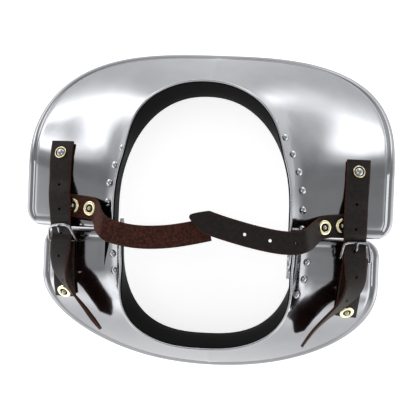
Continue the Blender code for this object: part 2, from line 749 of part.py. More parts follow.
def walk_at(line, axis, value):
    """Length walked along a line, which falls along one axis, when it reaches a value."""
    lengths = np.concatenate(([0.0], np.cumsum(np.linalg.norm(np.diff(line, axis=0), axis=1))))
    return float(np.interp(-value, -line[:, axis], lengths))


def punch(strap, stations):
    """Round holes through a strap, each a centre, a normal and a radius."""
    vertices = []
    faces = []
    for centre, normal, radius in stations:
        turn = Matrix.Translation(Vector(centre)) @ standing_on(normal)
        start = len(vertices)
        for level in (-LEATHER, LEATHER):
            for k in range(HOLE_SIDES):
                angle = 2.0 * math.pi * k / HOLE_SIDES
                vertices.append(turn @ Vector((radius * math.cos(angle), radius * math.sin(angle), level)))
        faces.append(tuple(start + k for k in range(HOLE_SIDES)))
        faces.append(tuple(start + HOLE_SIDES + k for k in range(HOLE_SIDES)))
        for k in range(HOLE_SIDES):
            n = (k + 1) % HOLE_SIDES
            faces.append((start + k, start + n, start + HOLE_SIDES + n, start + HOLE_SIDES + k))
    cutter = add_object(strap.name + "_holes", vertices, faces, leather)
    cutter.hide_render = True
    cutter.display_type = "WIRE"
    cut = strap.modifiers.new("punched holes", "BOOLEAN")
    cut.operation = "DIFFERENCE"
    cut.object = cutter


def shift_at(along):
    """Sideways place of a strap's middle, easing from the back half towards the front half."""
    share = smooth_step((SHIFT_FROM - along) / SHIFT_OVER)
    tip_share = smooth_step((TIP_SHIFT_FROM - along) / TIP_SHIFT_OVER)
    return BACK_SHIFT + (TAIL_SHIFT - BACK_SHIFT) * share + (TIP_SHIFT - TAIL_SHIFT) * tip_share


def along_at(share):
    """Place along Y of a share: of the back plate's depth behind the middle, of the tail's reach before it."""
    return np.where(share > 0.0, share * BACK_DEPTH, share * TAIL_REACH)


def bar_along(hand):
    """Place along Y of a buckle's bar; the straps' skew puts the left one further back."""
    return -BAR_REACH - hand * SHOULDER_LINE * STRAP_SKEW


def shoulder_strap(label, hand, plates):
    """Long strap from its rivet on the back plate, through the buckle, to its free pointed tail."""
    rows = eased(SHOULDER_STRAP, STRAP_STEPS)
    plan = np.stack((shift_at(rows[:, 1]) + hand * SHOULDER_LINE * rows[:, 0],
                     along_at(rows[:, 1]) - hand * SHOULDER_LINE * STRAP_SKEW), axis=1)
    centres, across = laid_line(plates, plan, rows[:, 2] * LEATHER, rows[:, 3], hand * math.pi / 2.0)
    strap, face = ribbon("shoulder_strap_" + label, centres, across, pointed_end(centres, POINT_LENGTH), leather)
    start = walk_at(centres, 1, SHOULDER_RIVET_SHARE * BACK_DEPTH - hand * SHOULDER_LINE * STRAP_SKEW)
    tongue_walk = walk_at(centres, 1, bar_along(hand)) - TONGUE_HOLE_TO_BAR
    holes = []
    for k in range(1, SHOULDER_HOLES + 1):
        walk = tongue_walk + (k - TONGUE_HOLE) * HOLE_PITCH
        radius = TONGUE_HOLE_RADIUS if k == TONGUE_HOLE else HOLE_RADIUS
        holes.append((along_line(centres, walk, centres), along_line(centres, walk, face), radius))
    seat = along_line(centres, start, centres)
    normal = along_line(centres, start, face)
    rivet_with_washer("shoulder_" + label, strap, seat + normal * LEATHER / 2.0, normal,
                      SHOULDER_WASHER_RADIUS, SHOULDER_RIVET_HOLE_RADIUS, SHOULDER_RIVET_RADIUS)
    punch(strap, holes)
    return centres, across, face, holes[TONGUE_HOLE - 1]


def buckle(label, hand, plates, strap_centres, strap_across, strap_face, tongue_hole):
    """Short strap riveted to the front plate and folded round the buckle's bar, frame and tongue."""
    walk = walk_at(strap_centres, 1, bar_along(hand))
    over_bar = along_line(strap_centres, walk, strap_centres)
    bar_plan = np.array((over_bar[0] - hand * BUCKLE_SHIFT, bar_along(hand)))
    rivet_plan = np.array((BUCKLE_MIDDLE + hand * BUCKLE_LINE,
                           BUCKLE_RIVET_SHARE * FRONT_DEPTH - hand * BUCKLE_LINE * STRAP_SKEW))
    heading = bar_plan - rivet_plan
    length = np.linalg.norm(heading)
    heading = heading / length
    past_rivet = (BUCKLE_RIVET_SHARE - BUCKLE_END_SHARE) * FRONT_DEPTH
    walks = np.linspace(-past_rivet, length, BUCKLE_STRAP_SECTIONS)
    plan = rivet_plan[None, :] + heading[None, :] * walks[:, None]
    flat = np.zeros(len(plan))
    centres, across = laid_line(plates, plan, flat + LAY_CLEAR, flat, 0.0)
    run = centres[-1] - centres[-2]
    run = run / np.linalg.norm(run)
    side = across[-1] - run * np.dot(across[-1], run)
    side = side / np.linalg.norm(side)
    up = np.cross(side, run)
    around = BUCKLE_WIRE + FOLD_GAP + LEATHER / 2.0
    bar = centres[-1] + up * around
    fold = [bar + around * (math.sin(turn) * run - math.cos(turn) * up)
            for turn in np.linspace(0.0, math.pi, FOLD_STEPS + 1)[1:]]
    fold.append(bar + around * up - run * FOLD_RETURN)
    line = np.vstack((centres, fold))
    sides = np.vstack((across, np.tile(side, (len(fold), 1))))
    strap, face = ribbon("buckle_strap_" + label, line, sides, np.ones(len(line)), leather)
    at_rivet = along_line(line, past_rivet, line)
    rivet_normal = along_line(line, past_rivet, face)
    rivet_with_washer("buckle_" + label, strap, at_rivet + rivet_normal * LEATHER / 2.0, rivet_normal,
                      WASHER_RADIUS, WASHER_HOLE_RADIUS, STRAP_RIVET_RADIUS)

    half_width = STRAP_WIDTH / 2.0 + BUCKLE_ROOM
    clear = LEATHER / 2.0 + FOLD_GAP + BUCKLE_WIRE
    points = []
    for turn in np.linspace(0.0, math.pi, BOW_STEPS + 1):
        out = math.cos(turn)
        out = math.copysign(abs(out) ** (2.0 / BUCKLE_POWER), out)
        ahead = math.sin(turn) ** (2.0 / BUCKLE_POWER)
        there = walk - ahead * BUCKLE_LENGTH
        beside_bar = bar + side * out * half_width
        over_strap = (along_line(strap_centres, there, strap_centres)
                      - along_line(strap_centres, there, strap_across) * out * half_width
                      + along_line(strap_centres, there, strap_face) * clear)
        share = min(1.0, ahead / BOW_LEVEL_FROM)
        points.append(Vector(beside_bar + (over_strap - beside_bar) * share))
    points.extend(Vector(bar + side * half_width * out) for out in (-0.5, 0.0, 0.5))
    frame_wire("buckle_frame_" + label, points, BUCKLE_WIRE, WIRE_SIDES, True, steel)

    hole, hole_normal, _ = tongue_hole
    bow = np.array(points[BOW_STEPS // 2])
    bow_normal = along_line(strap_centres, walk - BUCKLE_LENGTH, strap_face)
    tip = bow + bow_normal * (BUCKLE_WIRE + TONGUE_WIRE + TONGUE_OVER_BOW)
    ahead = (tip - hole) / np.linalg.norm(tip - hole)
    above = LEATHER / 2.0 + TONGUE_WIRE + SEAT_GAP
    tongue = [tip + ahead * TONGUE_PAST_BOW, tip, tip - ahead * (BUCKLE_WIRE + TONGUE_WIRE),
              hole + hole_normal * above + ahead * TONGUE_WIRE * 2.0,
              hole + hole_normal * LEATHER * TONGUE_BEND, hole - hole_normal * LEATHER * TONGUE_DEEP]
    frame_wire("buckle_tongue_" + label, [Vector(p) for p in tongue], TONGUE_WIRE, WIRE_SIDES, False, steel)


def neck_strap(label, table, plates):
    """Strap riveted flat to the back plate that rises over the rim and crosses the neck opening."""
    rows = np.array(table)
    share = np.abs(rows[:, 0])
    beyond = np.clip(share - 1.0, 0.0, None) * (SHOULDER_LINE - BACK_THROAT_HALF_WIDTH)
    rows[:, 0] = np.sign(rows[:, 0]) * (np.clip(share, 0.0, 1.0) * BACK_THROAT_HALF_WIDTH + beyond)
    rows = eased(rows, STRAP_STEPS)
    plan = np.stack((BACK_SHIFT + rows[:, 0], along_at(rows[:, 1]) - rows[:, 0] * STRAP_SKEW), axis=1)
    tab = NECK_TAB_ROWS * STRAP_STEPS - STRAP_STEPS + 1
    flat = np.zeros(tab)
    laid, laid_across = laid_line(plates, plan[:tab], flat + LAY_CLEAR, flat, 0.0)
    over_rim = BACK_RIM_HEIGHT_SIDE + NECK_STRAP_OVER_RIM + LEATHER / 2.0
    height = laid[-1, 2] + (over_rim - laid[-1, 2]) * rows[:, 2]
    height[:tab] = laid[:, 2]
    centres = np.concatenate((plan, height[:, None]), axis=1)
    slew = rows[:, 3] * math.pi / 2.0
    towards = math.copysign(1.0, plan[-1, 0] - plan[0, 0])
    across = np.stack((np.sin(slew), -towards * np.cos(slew), np.zeros(len(slew))), axis=1)
    across[:tab] = laid_across
    widths = np.full(len(centres), NECK_WIDTH_SHARE)
    if label == "right":
        widths = widths * pointed_end(centres, POINT_LENGTH)
    strap, face = ribbon("neck_strap_" + label, centres, across, widths, leather)
    for k in range(1, NECK_TAB_ROWS):
        at = STRAP_STEPS * k
        rivet_with_washer("neck_%s_%d" % (label, k), strap, centres[at] + face[at] * LEATHER / 2.0, face[at],
                          WASHER_RADIUS, WASHER_HOLE_RADIUS, STRAP_RIVET_RADIUS)
    if label == "right":
        lengths = np.concatenate(([0.0], np.cumsum(np.linalg.norm(np.diff(centres, axis=0), axis=1))))
        holes = []
        for k in range(NECK_HOLES):
            walk = lengths[-1] - NECK_HOLE_FROM_TIP - k * HOLE_PITCH
            holes.append((along_line(centres, walk, centres), along_line(centres, walk, face), HOLE_RADIUS))
        punch(strap, holes)


def main():
    clear_scene()
    back = Half(1.0, BACK_SHIFT, -BACK_END_REACH,
                (BACK_SHIFT, BACK_HALF_WIDTH, BACK_DEPTH, BACK_POWER, BACK_SIDE_LINE, BACK_SHOULDER_RISE,
                 BACK_NECK_HEIGHT),
                (BACK_THROAT_HALF_WIDTH, BACK_THROAT_DEPTH, BACK_THROAT_POWER, BACK_THROAT_SIDE_LINE),
                (BACK_RIM_FLARE_SIDE, BACK_RIM_FLARE_END, BACK_RIM_HEIGHT_SIDE, BACK_RIM_HEIGHT_END))
    front = Half(-1.0, FRONT_SHIFT, BACK_END_REACH + HALVES_GAP,
                 (FRONT_PLATE_SHIFT, FRONT_HALF_WIDTH, FRONT_DEPTH, FRONT_POWER, FRONT_SIDE_LINE,
                  FRONT_SHOULDER_RISE, FRONT_NECK_HEIGHT),
                 (FRONT_THROAT_HALF_WIDTH, FRONT_THROAT_DEPTH, FRONT_THROAT_POWER, FRONT_THROAT_SIDE_LINE),
                 (FRONT_RIM_FLARE_SIDE, FRONT_RIM_FLARE_END, FRONT_RIM_HEIGHT_SIDE, FRONT_RIM_HEIGHT_END))
    back_plate = build_plate("back_plate", back)
    front_plate = build_plate("front_plate", front)
    build_collar("back_collar", back, BACK_COLLAR_TONGUE, 0.0)
    build_collar("front_collar", front, 0.0, FRONT_COLLAR_TONGUE)
    plates = top_view_tree((back_plate, front_plate))
    back_kept = (0, 1, 2, 3, 4, 5, 6, 7, 13, 14, 15, 16, 17, 18, 19, 20)
    rivet_row("back", back, plates, BACK_RIVET_COUNT, back_kept)
    cut_slit(front_plate, front)
    front_kept = (0, 1, 2, 3, 4, 5, 6, 12, 13, 14, 15, 16, 17, 18)
    rivet_row("front", front, plates, FRONT_RIVET_COUNT, front_kept)
    for label, hand in (("left", -1.0), ("right", 1.0)):
        centres, across, face, tongue_hole = shoulder_strap(label, hand, plates)
        buckle(label, hand, plates, centres, across, face, tongue_hole)
    neck_strap("left", NECK_STRAP_LEFT, plates)
    neck_strap("right", NECK_STRAP_RIGHT, plates)


main()
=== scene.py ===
"""Looks of the steel gorget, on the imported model's frame: +Y is the back, Z = 0 the ground."""

import math

import bpy
import numpy as np
from mathutils import Matrix, Vector
from mathutils.bvhtree import BVHTree


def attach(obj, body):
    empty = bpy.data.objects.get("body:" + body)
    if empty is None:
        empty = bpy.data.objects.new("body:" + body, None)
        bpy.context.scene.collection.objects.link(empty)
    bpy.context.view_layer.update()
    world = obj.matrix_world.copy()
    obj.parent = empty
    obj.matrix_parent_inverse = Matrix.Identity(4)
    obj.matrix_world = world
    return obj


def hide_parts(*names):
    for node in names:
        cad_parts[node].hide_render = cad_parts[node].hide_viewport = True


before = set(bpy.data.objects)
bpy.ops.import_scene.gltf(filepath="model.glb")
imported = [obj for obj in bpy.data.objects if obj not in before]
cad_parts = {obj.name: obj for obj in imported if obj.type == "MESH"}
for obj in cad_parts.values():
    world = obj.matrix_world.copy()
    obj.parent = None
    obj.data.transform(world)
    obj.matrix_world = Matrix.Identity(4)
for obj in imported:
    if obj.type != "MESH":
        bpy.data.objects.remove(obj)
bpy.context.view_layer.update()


# Ground and light. The gorget stands on a white table in an even, pale room, with soft upright strips of
# light all round, which its polished plates mirror, and one dim softbox above. The table glows evenly, and
# further out it glows in the same
# strips: painted light on the table, which the plates mirror too.
def add_node(tree, kind, inputs=None, **settings):
    """One node of a material or world, with its settings, values and links."""
    node = tree.nodes.new(kind)
    for key, value in settings.items():
        setattr(node, key, value)
    for socket, value in (inputs or {}).items():
        if isinstance(value, bpy.types.NodeSocket):
            tree.links.new(value, node.inputs[socket])
        else:
            node.inputs[socket].default_value = value
    return node


def ramp(tree, factor, stops, interpolation="LINEAR"):
    """Colour ramp through grey or coloured stops, each a place and a value or a colour."""
    node = add_node(tree, "ShaderNodeValToRGB", {"Fac": factor})
    node.color_ramp.interpolation = interpolation
    while len(node.color_ramp.elements) < len(stops):
        node.color_ramp.elements.new(0.5)
    for element, (place, colour) in zip(node.color_ramp.elements, stops):
        element.position = place
        element.color = (*colour, 1.0) if isinstance(colour, tuple) else (colour, colour, colour, 1.0)
    return node.outputs["Color"]


def finish_of(name, colour, metallic, roughness, **sockets):
    """New material: its node tree and its shader with the constant sockets set."""
    material = bpy.data.materials.new(name)
    material.use_nodes = True
    shader = material.node_tree.nodes["Principled BSDF"]
    shader.inputs["Base Color"].default_value = (*colour, 1.0)
    shader.inputs["Metallic"].default_value = metallic
    shader.inputs["Roughness"].default_value = roughness
    for socket, value in sockets.items():
        shader.inputs[socket.replace("_", " ")].default_value = value
    return material, material.node_tree, shader


strip_tones = (
    # bearing as a share of a turn from -X, brightness
    (0.0, 0.34), (0.02, 0.34), (0.07, 0.25), (0.115, 0.55), (0.16, 0.18), (0.25, 0.05), (0.33, 0.08),
    (0.37, 0.44), (0.42, 0.50), (0.485, 0.36), (0.515, 0.06), (0.60, 0.05), (0.655, 0.15), (0.69, 0.82),
    (0.72, 0.15), (0.76, 0.03), (0.825, 0.05), (0.863, 0.92), (0.90, 0.12), (0.95, 0.03), (0.985, 0.05),
    (1.0, 0.34),
)
room_tones = (
    # height in the sky, brightness
    (0.0, 0.2), (0.15, 0.17), (0.4, 0.13), (0.6, 0.10), (0.75, 0.11), (1.0, 0.12),
)
strip_reach = (
    # height in the sky, share of the strips that is left
    (0.0, 1.0), (0.32, 1.0), (0.47, 0.35), (0.65, 0.1), (1.0, 0.0),
)


def strips_round(tree, place):
    """Strips of light by bearing: strong ones behind both shoulders, weak ones before them."""
    parts = add_node(tree, "ShaderNodeSeparateXYZ", {0: place})
    bearing = add_node(tree, "ShaderNodeMath", {0: parts.outputs["Y"], 1: parts.outputs["X"]},
                       operation="ARCTAN2")
    turned = add_node(tree, "ShaderNodeMapRange",
                      {"Value": bearing.outputs[0], "From Min": -math.pi, "From Max": math.pi})
    return ramp(tree, turned.outputs[0], strip_tones, "EASE")


world = bpy.data.worlds.new("studio")
world.use_nodes = True
bpy.context.scene.world = world
sky = world.node_tree
direction = add_node(sky, "ShaderNodeTexCoord").outputs["Generated"]
height = add_node(sky, "ShaderNodeSeparateXYZ", {0: direction}).outputs["Z"]
room = ramp(sky, height, room_tones, "EASE")
reach = ramp(sky, height, strip_reach, "EASE")
strips = strips_round(sky, direction)
tall = add_node(sky, "ShaderNodeVectorMath", {0: strips, 1: reach}, operation="MULTIPLY").outputs[0]
lit = add_node(sky, "ShaderNodeVectorMath", {0: room, 1: tall}, operation="ADD").outputs[0]
sky.links.new(lit, sky.nodes["Background"].inputs["Color"])
sky_strength = 4.8
sky.nodes["Background"].inputs["Strength"].default_value = sky_strength
bpy.context.scene.view_settings.view_transform = "Standard"

table_end = 3.0
table_glow = 0.72
strips_from = 0.17
full_strips_from = 0.45
strips_strength = 4.0
ground_mesh = bpy.data.meshes.new("ground")
ground_mesh.from_pydata([(-table_end, -table_end, 0), (table_end, -table_end, 0), (table_end, table_end, 0),
                         (-table_end, table_end, 0)], [], [(0, 1, 2, 3)])
ground = bpy.data.objects.new("ground", ground_mesh)
bpy.context.scene.collection.objects.link(ground)
table, table_tree, table_shader = finish_of("white_table", (0.8, 0.8, 0.8), 0.0, 0.7,
                                            Emission_Color=(1.0, 1.0, 1.0, 1.0))
on_table = add_node(table_tree, "ShaderNodeTexCoord").outputs["Object"]
away = add_node(table_tree, "ShaderNodeVectorMath", {0: on_table}, operation="LENGTH").outputs["Value"]
outside = add_node(table_tree, "ShaderNodeMapRange",
                   {"Value": away, "From Min": strips_from, "From Max": full_strips_from,
                    "To Max": strips_strength}, interpolation_type="SMOOTHSTEP").outputs[0]
# Beyond strips_from the table glows in the room's strips of light: painted light on the table, there for the
# plates to mirror.
glow = add_node(table_tree, "ShaderNodeMath",
                {0: strips_round(table_tree, on_table), 1: outside, 2: table_glow},
                operation="MULTIPLY_ADD").outputs[0]
table_tree.links.new(glow, table_shader.inputs["Emission Strength"])
ground_mesh.materials.append(table)

softbox = bpy.data.lights.new("softbox_over", "AREA")
softbox.shape = "SQUARE"
softbox.size = 0.9
softbox.energy = 6.0
lamp = bpy.data.objects.new("softbox_over", softbox)
lamp.location = (0.0, 0.05, 2.4)
lamp.rotation_euler = (-lamp.location).to_track_quat("-Z", "Y").to_euler()
bpy.context.scene.collection.objects.link(lamp)

# Camera, nearly straight above, a little towards +X and turned so that the gorget lies clockwise.
camera_tilt = math.radians(5.5)
camera_roll = 0.042
camera_target = Vector((0.0005, 0.0015, 0.060))
camera_height = 1.1
picture_width = 0.3536
straight_right = Vector((math.cos(camera_tilt), 0.0, -math.sin(camera_tilt)))
towards_camera = Vector((math.sin(camera_tilt), 0.0, math.cos(camera_tilt)))
camera_right = (straight_right + camera_roll * Vector((0.0, 1.0, 0.0))).normalized()
camera_up = towards_camera.cross(camera_right)
camera = bpy.data.objects.new("camera", bpy.data.cameras.new("camera"))
camera.data.angle = 2.0 * math.atan(picture_width / 2.0 / camera_height)
camera.data.clip_end = 20.0
camera.matrix_world = Matrix.Translation(camera_target + towards_camera * camera_height) @ Matrix(
    (camera_right, camera_up, towards_camera)).transposed().to_4x4()
bpy.context.scene.collection.objects.link(camera)
bpy.context.scene.camera = camera


# Back and front plates: 1.4 mm sheet steel, raised over the shoulders, with a beaded border, rounded
# corners and a faint crease down the middle. Polished outside, left dark inside.
def polished_steel(name, tint, roughness):
    """Bright polished steel, a little bluish: cloudy gloss, hair scratches and a slight hammered wave."""
    material, tree, shader = finish_of(name, (tint, tint, tint), 1.0, roughness)
    at = add_node(tree, "ShaderNodeTexCoord").outputs["Object"]
    cloud = add_node(tree, "ShaderNodeTexNoise",
                     {"Vector": at, "Scale": 38.0, "Detail": 4.0, "Roughness": 0.6}).outputs["Fac"]
    tone = ramp(tree, cloud, ((0.3, (tint * 0.92, tint * 0.93, tint * 0.98)),
                              (0.7, (tint * 1.03, tint * 1.04, tint * 1.09))))
    tree.links.new(tone, shader.inputs["Base Color"])
    long = add_node(tree, "ShaderNodeMapping", {"Vector": at, "Scale": (60.0, 2600.0, 900.0),
                                                "Rotation": (0.0, 0.0, 0.5)}).outputs[0]
    hair = add_node(tree, "ShaderNodeTexNoise", {"Vector": long, "Scale": 1.0, "Detail": 3.0}).outputs["Fac"]
    mixed = add_node(tree, "ShaderNodeMath", {0: cloud, 1: hair}, operation="ADD").outputs[0]
    matt = add_node(tree, "ShaderNodeMapRange", {"Value": mixed, "From Min": 0.7, "From Max": 1.3,
                                                 "To Min": roughness * 0.75, "To Max": roughness * 1.45})
    tree.links.new(matt.outputs[0], shader.inputs["Roughness"])
    wave = add_node(tree, "ShaderNodeTexNoise", {"Vector": at, "Scale": 26.0, "Detail": 1.0}).outputs["Fac"]
    beaten = add_node(tree, "ShaderNodeBump", {"Height": wave, "Distance": 0.0006, "Strength": 0.08})
    fine = add_node(tree, "ShaderNodeTexNoise", {"Vector": at, "Scale": 900.0, "Detail": 2.0}).outputs["Fac"]
    grit = add_node(tree, "ShaderNodeMath", {0: fine, 1: hair}, operation="ADD").outputs[0]
    scratched = add_node(tree, "ShaderNodeBump", {"Height": grit, "Distance": 0.000003, "Strength": 0.35,
                                                  "Normal": beaten.outputs[0]})
    tree.links.new(scratched.outputs[0], shader.inputs["Normal"])
    return material


def blackened_steel(name, tint, roughness):
    """Black satin coat on steel: soft clouds in its gloss and a fine orange-peel bump."""
    material, tree, shader = finish_of(name, (tint, tint, tint), 0.0, roughness, Specular_IOR_Level=0.01)
    at = add_node(tree, "ShaderNodeTexCoord").outputs["Object"]
    cloud = add_node(tree, "ShaderNodeTexNoise", {"Vector": at, "Scale": 60.0, "Detail": 5.0}).outputs["Fac"]
    matt = add_node(tree, "ShaderNodeMapRange",
                    {"Value": cloud, "To Min": roughness * 0.7, "To Max": roughness * 1.4})
    tree.links.new(matt.outputs[0], shader.inputs["Roughness"])
    tone = ramp(tree, cloud, ((0.25, tint * 0.6), (0.75, tint * 1.6)))
    tree.links.new(tone, shader.inputs["Base Color"])
    peel = add_node(tree, "ShaderNodeTexNoise", {"Vector": at, "Scale": 500.0, "Detail": 2.0}).outputs["Fac"]
    bump = add_node(tree, "ShaderNodeBump", {"Height": peel, "Distance": 0.00005, "Strength": 0.5})
    tree.links.new(bump.outputs[0], shader.inputs["Normal"])
    return material


plate_thickness = 0.0014
collar_thickness = 0.0012
fit_gap = 0.0008
seat_gap = 0.0003
corner_radius = 0.015
border_width = 0.0088
straight_middle_from = 0.96
fall_table = np.array((
    # way out, fall at the shoulders, fall at the middle
    (0.0, 0.0, 0.0), (0.04, 0.10, 0.07), (0.09, 0.18, 0.13), (0.18, 0.27, 0.22), (0.32, 0.38, 0.34),
    (0.5, 0.52, 0.50), (0.68, 0.67, 0.67), (0.84, 0.83, 0.83), (1.0, 1.0, 1.0),
))


def smooth_step(share):
    """3 t² - 2 t³ of a share held between 0 and 1."""
    share = np.clip(share, 0.0, 1.0)
    return share * share * (3.0 - 2.0 * share)


def unit(vectors):
    """Vectors scaled to a length of one."""
    return vectors / np.linalg.norm(vectors, axis=-1, keepdims=True)


def eased_table(x, known_x, known_y):
    """Cubic Hermite curve through known points, its slopes taken from their neighbours."""
    slope = np.gradient(known_y, known_x)
    k = np.clip(np.searchsorted(known_x, x, side="right") - 1, 0, len(known_x) - 2)
    width = known_x[k + 1] - known_x[k]
    t = (x - known_x[k]) / width
    return ((2 * t ** 3 - 3 * t ** 2 + 1) * known_y[k] + (t ** 3 - 2 * t ** 2 + t) * width * slope[k]
            + (3 * t ** 2 - 2 * t ** 3) * known_y[k + 1] + (t ** 3 - t ** 2) * width * slope[k + 1])


def outline(half_width, depth, power, side_line, end_line, centre, side):
    """Plan line and its walk: x = c + w |cos t|^(2/p), y = l + (d - l) |sin t|^(2/p), straight to the end."""
    t = np.linspace(0.0, math.pi, 4001)
    across = np.sign(np.cos(t)) * np.abs(np.cos(t)) ** (2.0 / power)
    along = np.abs(np.sin(t)) ** (2.0 / power)
    x = np.concatenate(([half_width], half_width * across, [-half_width])) + centre
    y = np.concatenate(([end_line], side_line + (depth - side_line) * along, [end_line])) * side
    walk = np.concatenate(([0.0], np.cumsum(np.hypot(np.diff(x), np.diff(y)))))
    return x, y, walk


def on_outline(line, near, share, left):
    """Points on an outline: near metres from an end, then a share of the rest of the way to its middle."""
    x, y, lengths = line
    walk = near + share * (lengths[-1] / 2.0 - near)
    walk = np.where(left, lengths[-1] - walk, walk)
    return np.stack((np.interp(walk, lengths, x), np.interp(walk, lengths, y)), axis=-1)


def half_of(side, centre, end_line, plate, throat, rim):
    """Named sizes of one half of the gorget with its neck and outer lines in plan."""
    room = collar_thickness + plate_thickness + fit_gap
    neck = outline(throat["half_width"] + room, throat["depth"] + room, throat["power"], throat["side_line"],
                   end_line, centre, side)
    outer = outline(plate["half_width"], plate["depth"], plate["power"], plate["side_line"], end_line,
                    plate["centre"], side)
    return {"side": side, "neck": neck, "outer": outer, "plate": plate, "rim": rim}


def walk_from_end(half, near, share):
    """Length walked along the outer line from its end to a column."""
    return near + share * (half["outer"][2][-1] / 2.0 - near)


def plate_point(half, near, share, left, out):
    """Point of the bare plate: the straight line from neck to lower edge in plan, its height falling by a
    curve of the way out, which blends from the shoulders' to the middle's by the edge's own lift."""
    plate = half["plate"]
    neck = on_outline(half["neck"], near, share, left)
    outer = on_outline(half["outer"], near, share, left)
    into_corner = np.clip(corner_radius - walk_from_end(half, near, share), 0.0, corner_radius)
    inset = corner_radius - np.sqrt(corner_radius ** 2 - into_corner ** 2)
    outer = outer + (neck - outer) * (inset / np.linalg.norm(outer - neck, axis=-1))[..., None]
    beyond = outer[..., 1] * half["side"] - plate["side_line"]
    lift = 1.0 - smooth_step(beyond / (straight_middle_from * plate["depth"] - plate["side_line"]))
    low = plate["shoulder_rise"] * lift
    shoulder_fall = eased_table(out, fall_table[:, 0], fall_table[:, 1])
    middle_fall = eased_table(out, fall_table[:, 0], fall_table[:, 2])
    fall = lift[..., None] * shoulder_fall + (1.0 - lift[..., None]) * middle_fall
    plan = neck[..., None, :] + (outer - neck)[..., None, :] * out[..., None]
    height = plate["neck_height"] + (low[..., None] - plate["neck_height"]) * fall
    return np.concatenate((plan, height[..., None]), axis=-1)


def plate_run(half, near, share, left, rows_of):
    """Plate points at lengths walked down each column from the neck edge, all in one interpolation."""
    dense = np.tile(np.linspace(0.0, 1.0, 161), (len(near), 1))
    line = plate_point(half, near, share, left, dense)
    steps = np.linalg.norm(np.diff(line, axis=1), axis=2)
    walk = np.concatenate((np.zeros((len(near), 1)), np.cumsum(steps, axis=1)), axis=1)
    wanted = rows_of(walk[:, -1])
    longer_than_any = 10.0
    apart = np.arange(len(near))[:, None] * longer_than_any
    out = np.interp((wanted + apart).ravel(), (walk + apart).ravel(), dense.ravel()).reshape(wanted.shape)
    return plate_point(half, near, share, left, out), walk[:, -1]


def facing(grid, side):
    """Unit normals of a grid of points, up and away from the neck."""
    normal = np.cross(np.gradient(grid, axis=1), np.gradient(grid, axis=0)) * side
    return unit(normal)


def half_columns(bead_columns):
    """Columns from the right end over the middle to the left end, close together in the end beads."""
    columns = 110
    near = np.concatenate((np.linspace(0.0, border_width, bead_columns + 1), np.full(columns, border_width)))
    share = np.concatenate((np.zeros(bead_columns + 1), np.arange(1, columns + 1) / columns))
    left = np.concatenate((np.zeros(len(near), dtype=bool), np.ones(len(near) - 1, dtype=bool)))
    return np.concatenate((near, near[-2::-1])), np.concatenate((share, share[-2::-1])), left


def shell(outer, inner):
    """Vertices and quads of a closed wall between two grids, and for each quad its part: 0 outer face,
    1 inner face, 2 edge."""
    columns, rows = outer.shape[:2]
    index = np.arange(columns * rows).reshape(columns, rows)
    inside = index + columns * rows
    a, b, c, d = index[:-1, :-1], index[1:, :-1], index[1:, 1:], index[:-1, 1:]
    front = np.stack((a, b, c, d), axis=-1).reshape(-1, 4)
    a, b, c, d = inside[:-1, :-1], inside[:-1, 1:], inside[1:, 1:], inside[1:, :-1]
    back = np.stack((a, b, c, d), axis=-1).reshape(-1, 4)
    edges = [np.stack((index[:-1, 0], inside[:-1, 0], inside[1:, 0], index[1:, 0]), axis=-1),
             np.stack((index[:-1, -1], index[1:, -1], inside[1:, -1], inside[:-1, -1]), axis=-1),
             np.stack((index[0, :-1], index[0, 1:], inside[0, 1:], inside[0, :-1]), axis=-1),
             np.stack((index[-1, :-1], inside[-1, :-1], inside[-1, 1:], index[-1, 1:]), axis=-1)]
    edge = np.concatenate(edges)
    part = np.concatenate((np.zeros(len(front), int), np.ones(len(back), int), np.full(len(edge), 2)))
    vertices = np.concatenate((outer.reshape(-1, 3), inner.reshape(-1, 3)))
    return vertices, np.concatenate((front, back, edge)), part


def facing_out(piece):
    """Turn a closed piece's faces over if its volume, a sixth of the sum of a · (b × c), is negative."""
    mesh = piece.data
    mesh.calc_loop_triangles()
    corner = np.empty(len(mesh.loop_triangles) * 3, dtype=np.int32)
    mesh.loop_triangles.foreach_get("vertices", corner)
    place = np.empty(len(mesh.vertices) * 3)
    mesh.vertices.foreach_get("co", place)
    a, b, c = place.reshape(-1, 3)[corner.reshape(-1, 3)].transpose(1, 0, 2)
    if np.sum(a * np.cross(b, c)) < 0.0:
        mesh.flip_normals()
    return piece


def new_object(name, vertices, faces):
    """Closed mesh object, facing outwards."""
    mesh = bpy.data.meshes.new(name)
    mesh.from_pydata(vertices, [], faces)
    piece = bpy.data.objects.new(name, mesh)
    bpy.context.scene.collection.objects.link(piece)
    return facing_out(piece)


def add_piece(name, vertices, faces, materials, part=None, sharp=40.0):
    """Closed mesh with its materials by part, smooth except over the sharp angle, riding on the root."""
    piece = new_object(name, np.asarray(vertices).tolist(), faces)
    for material in materials:
        piece.data.materials.append(material)
    if part is not None:
        piece.data.polygons.foreach_set("material_index", part.astype(np.int32))
    piece.data.shade_smooth()
    piece.data.set_sharp_from_angle(angle=math.radians(sharp))
    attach(piece, "root")
    return piece


bead_width = 0.0068
bead_rise = 0.0012
bead_power = 0.85
groove_offset = 0.0009
groove_depth = 0.00025
groove_width = 0.0007
crease_rise = 0.0015
crease_width = 0.006
crease_fade = 0.02


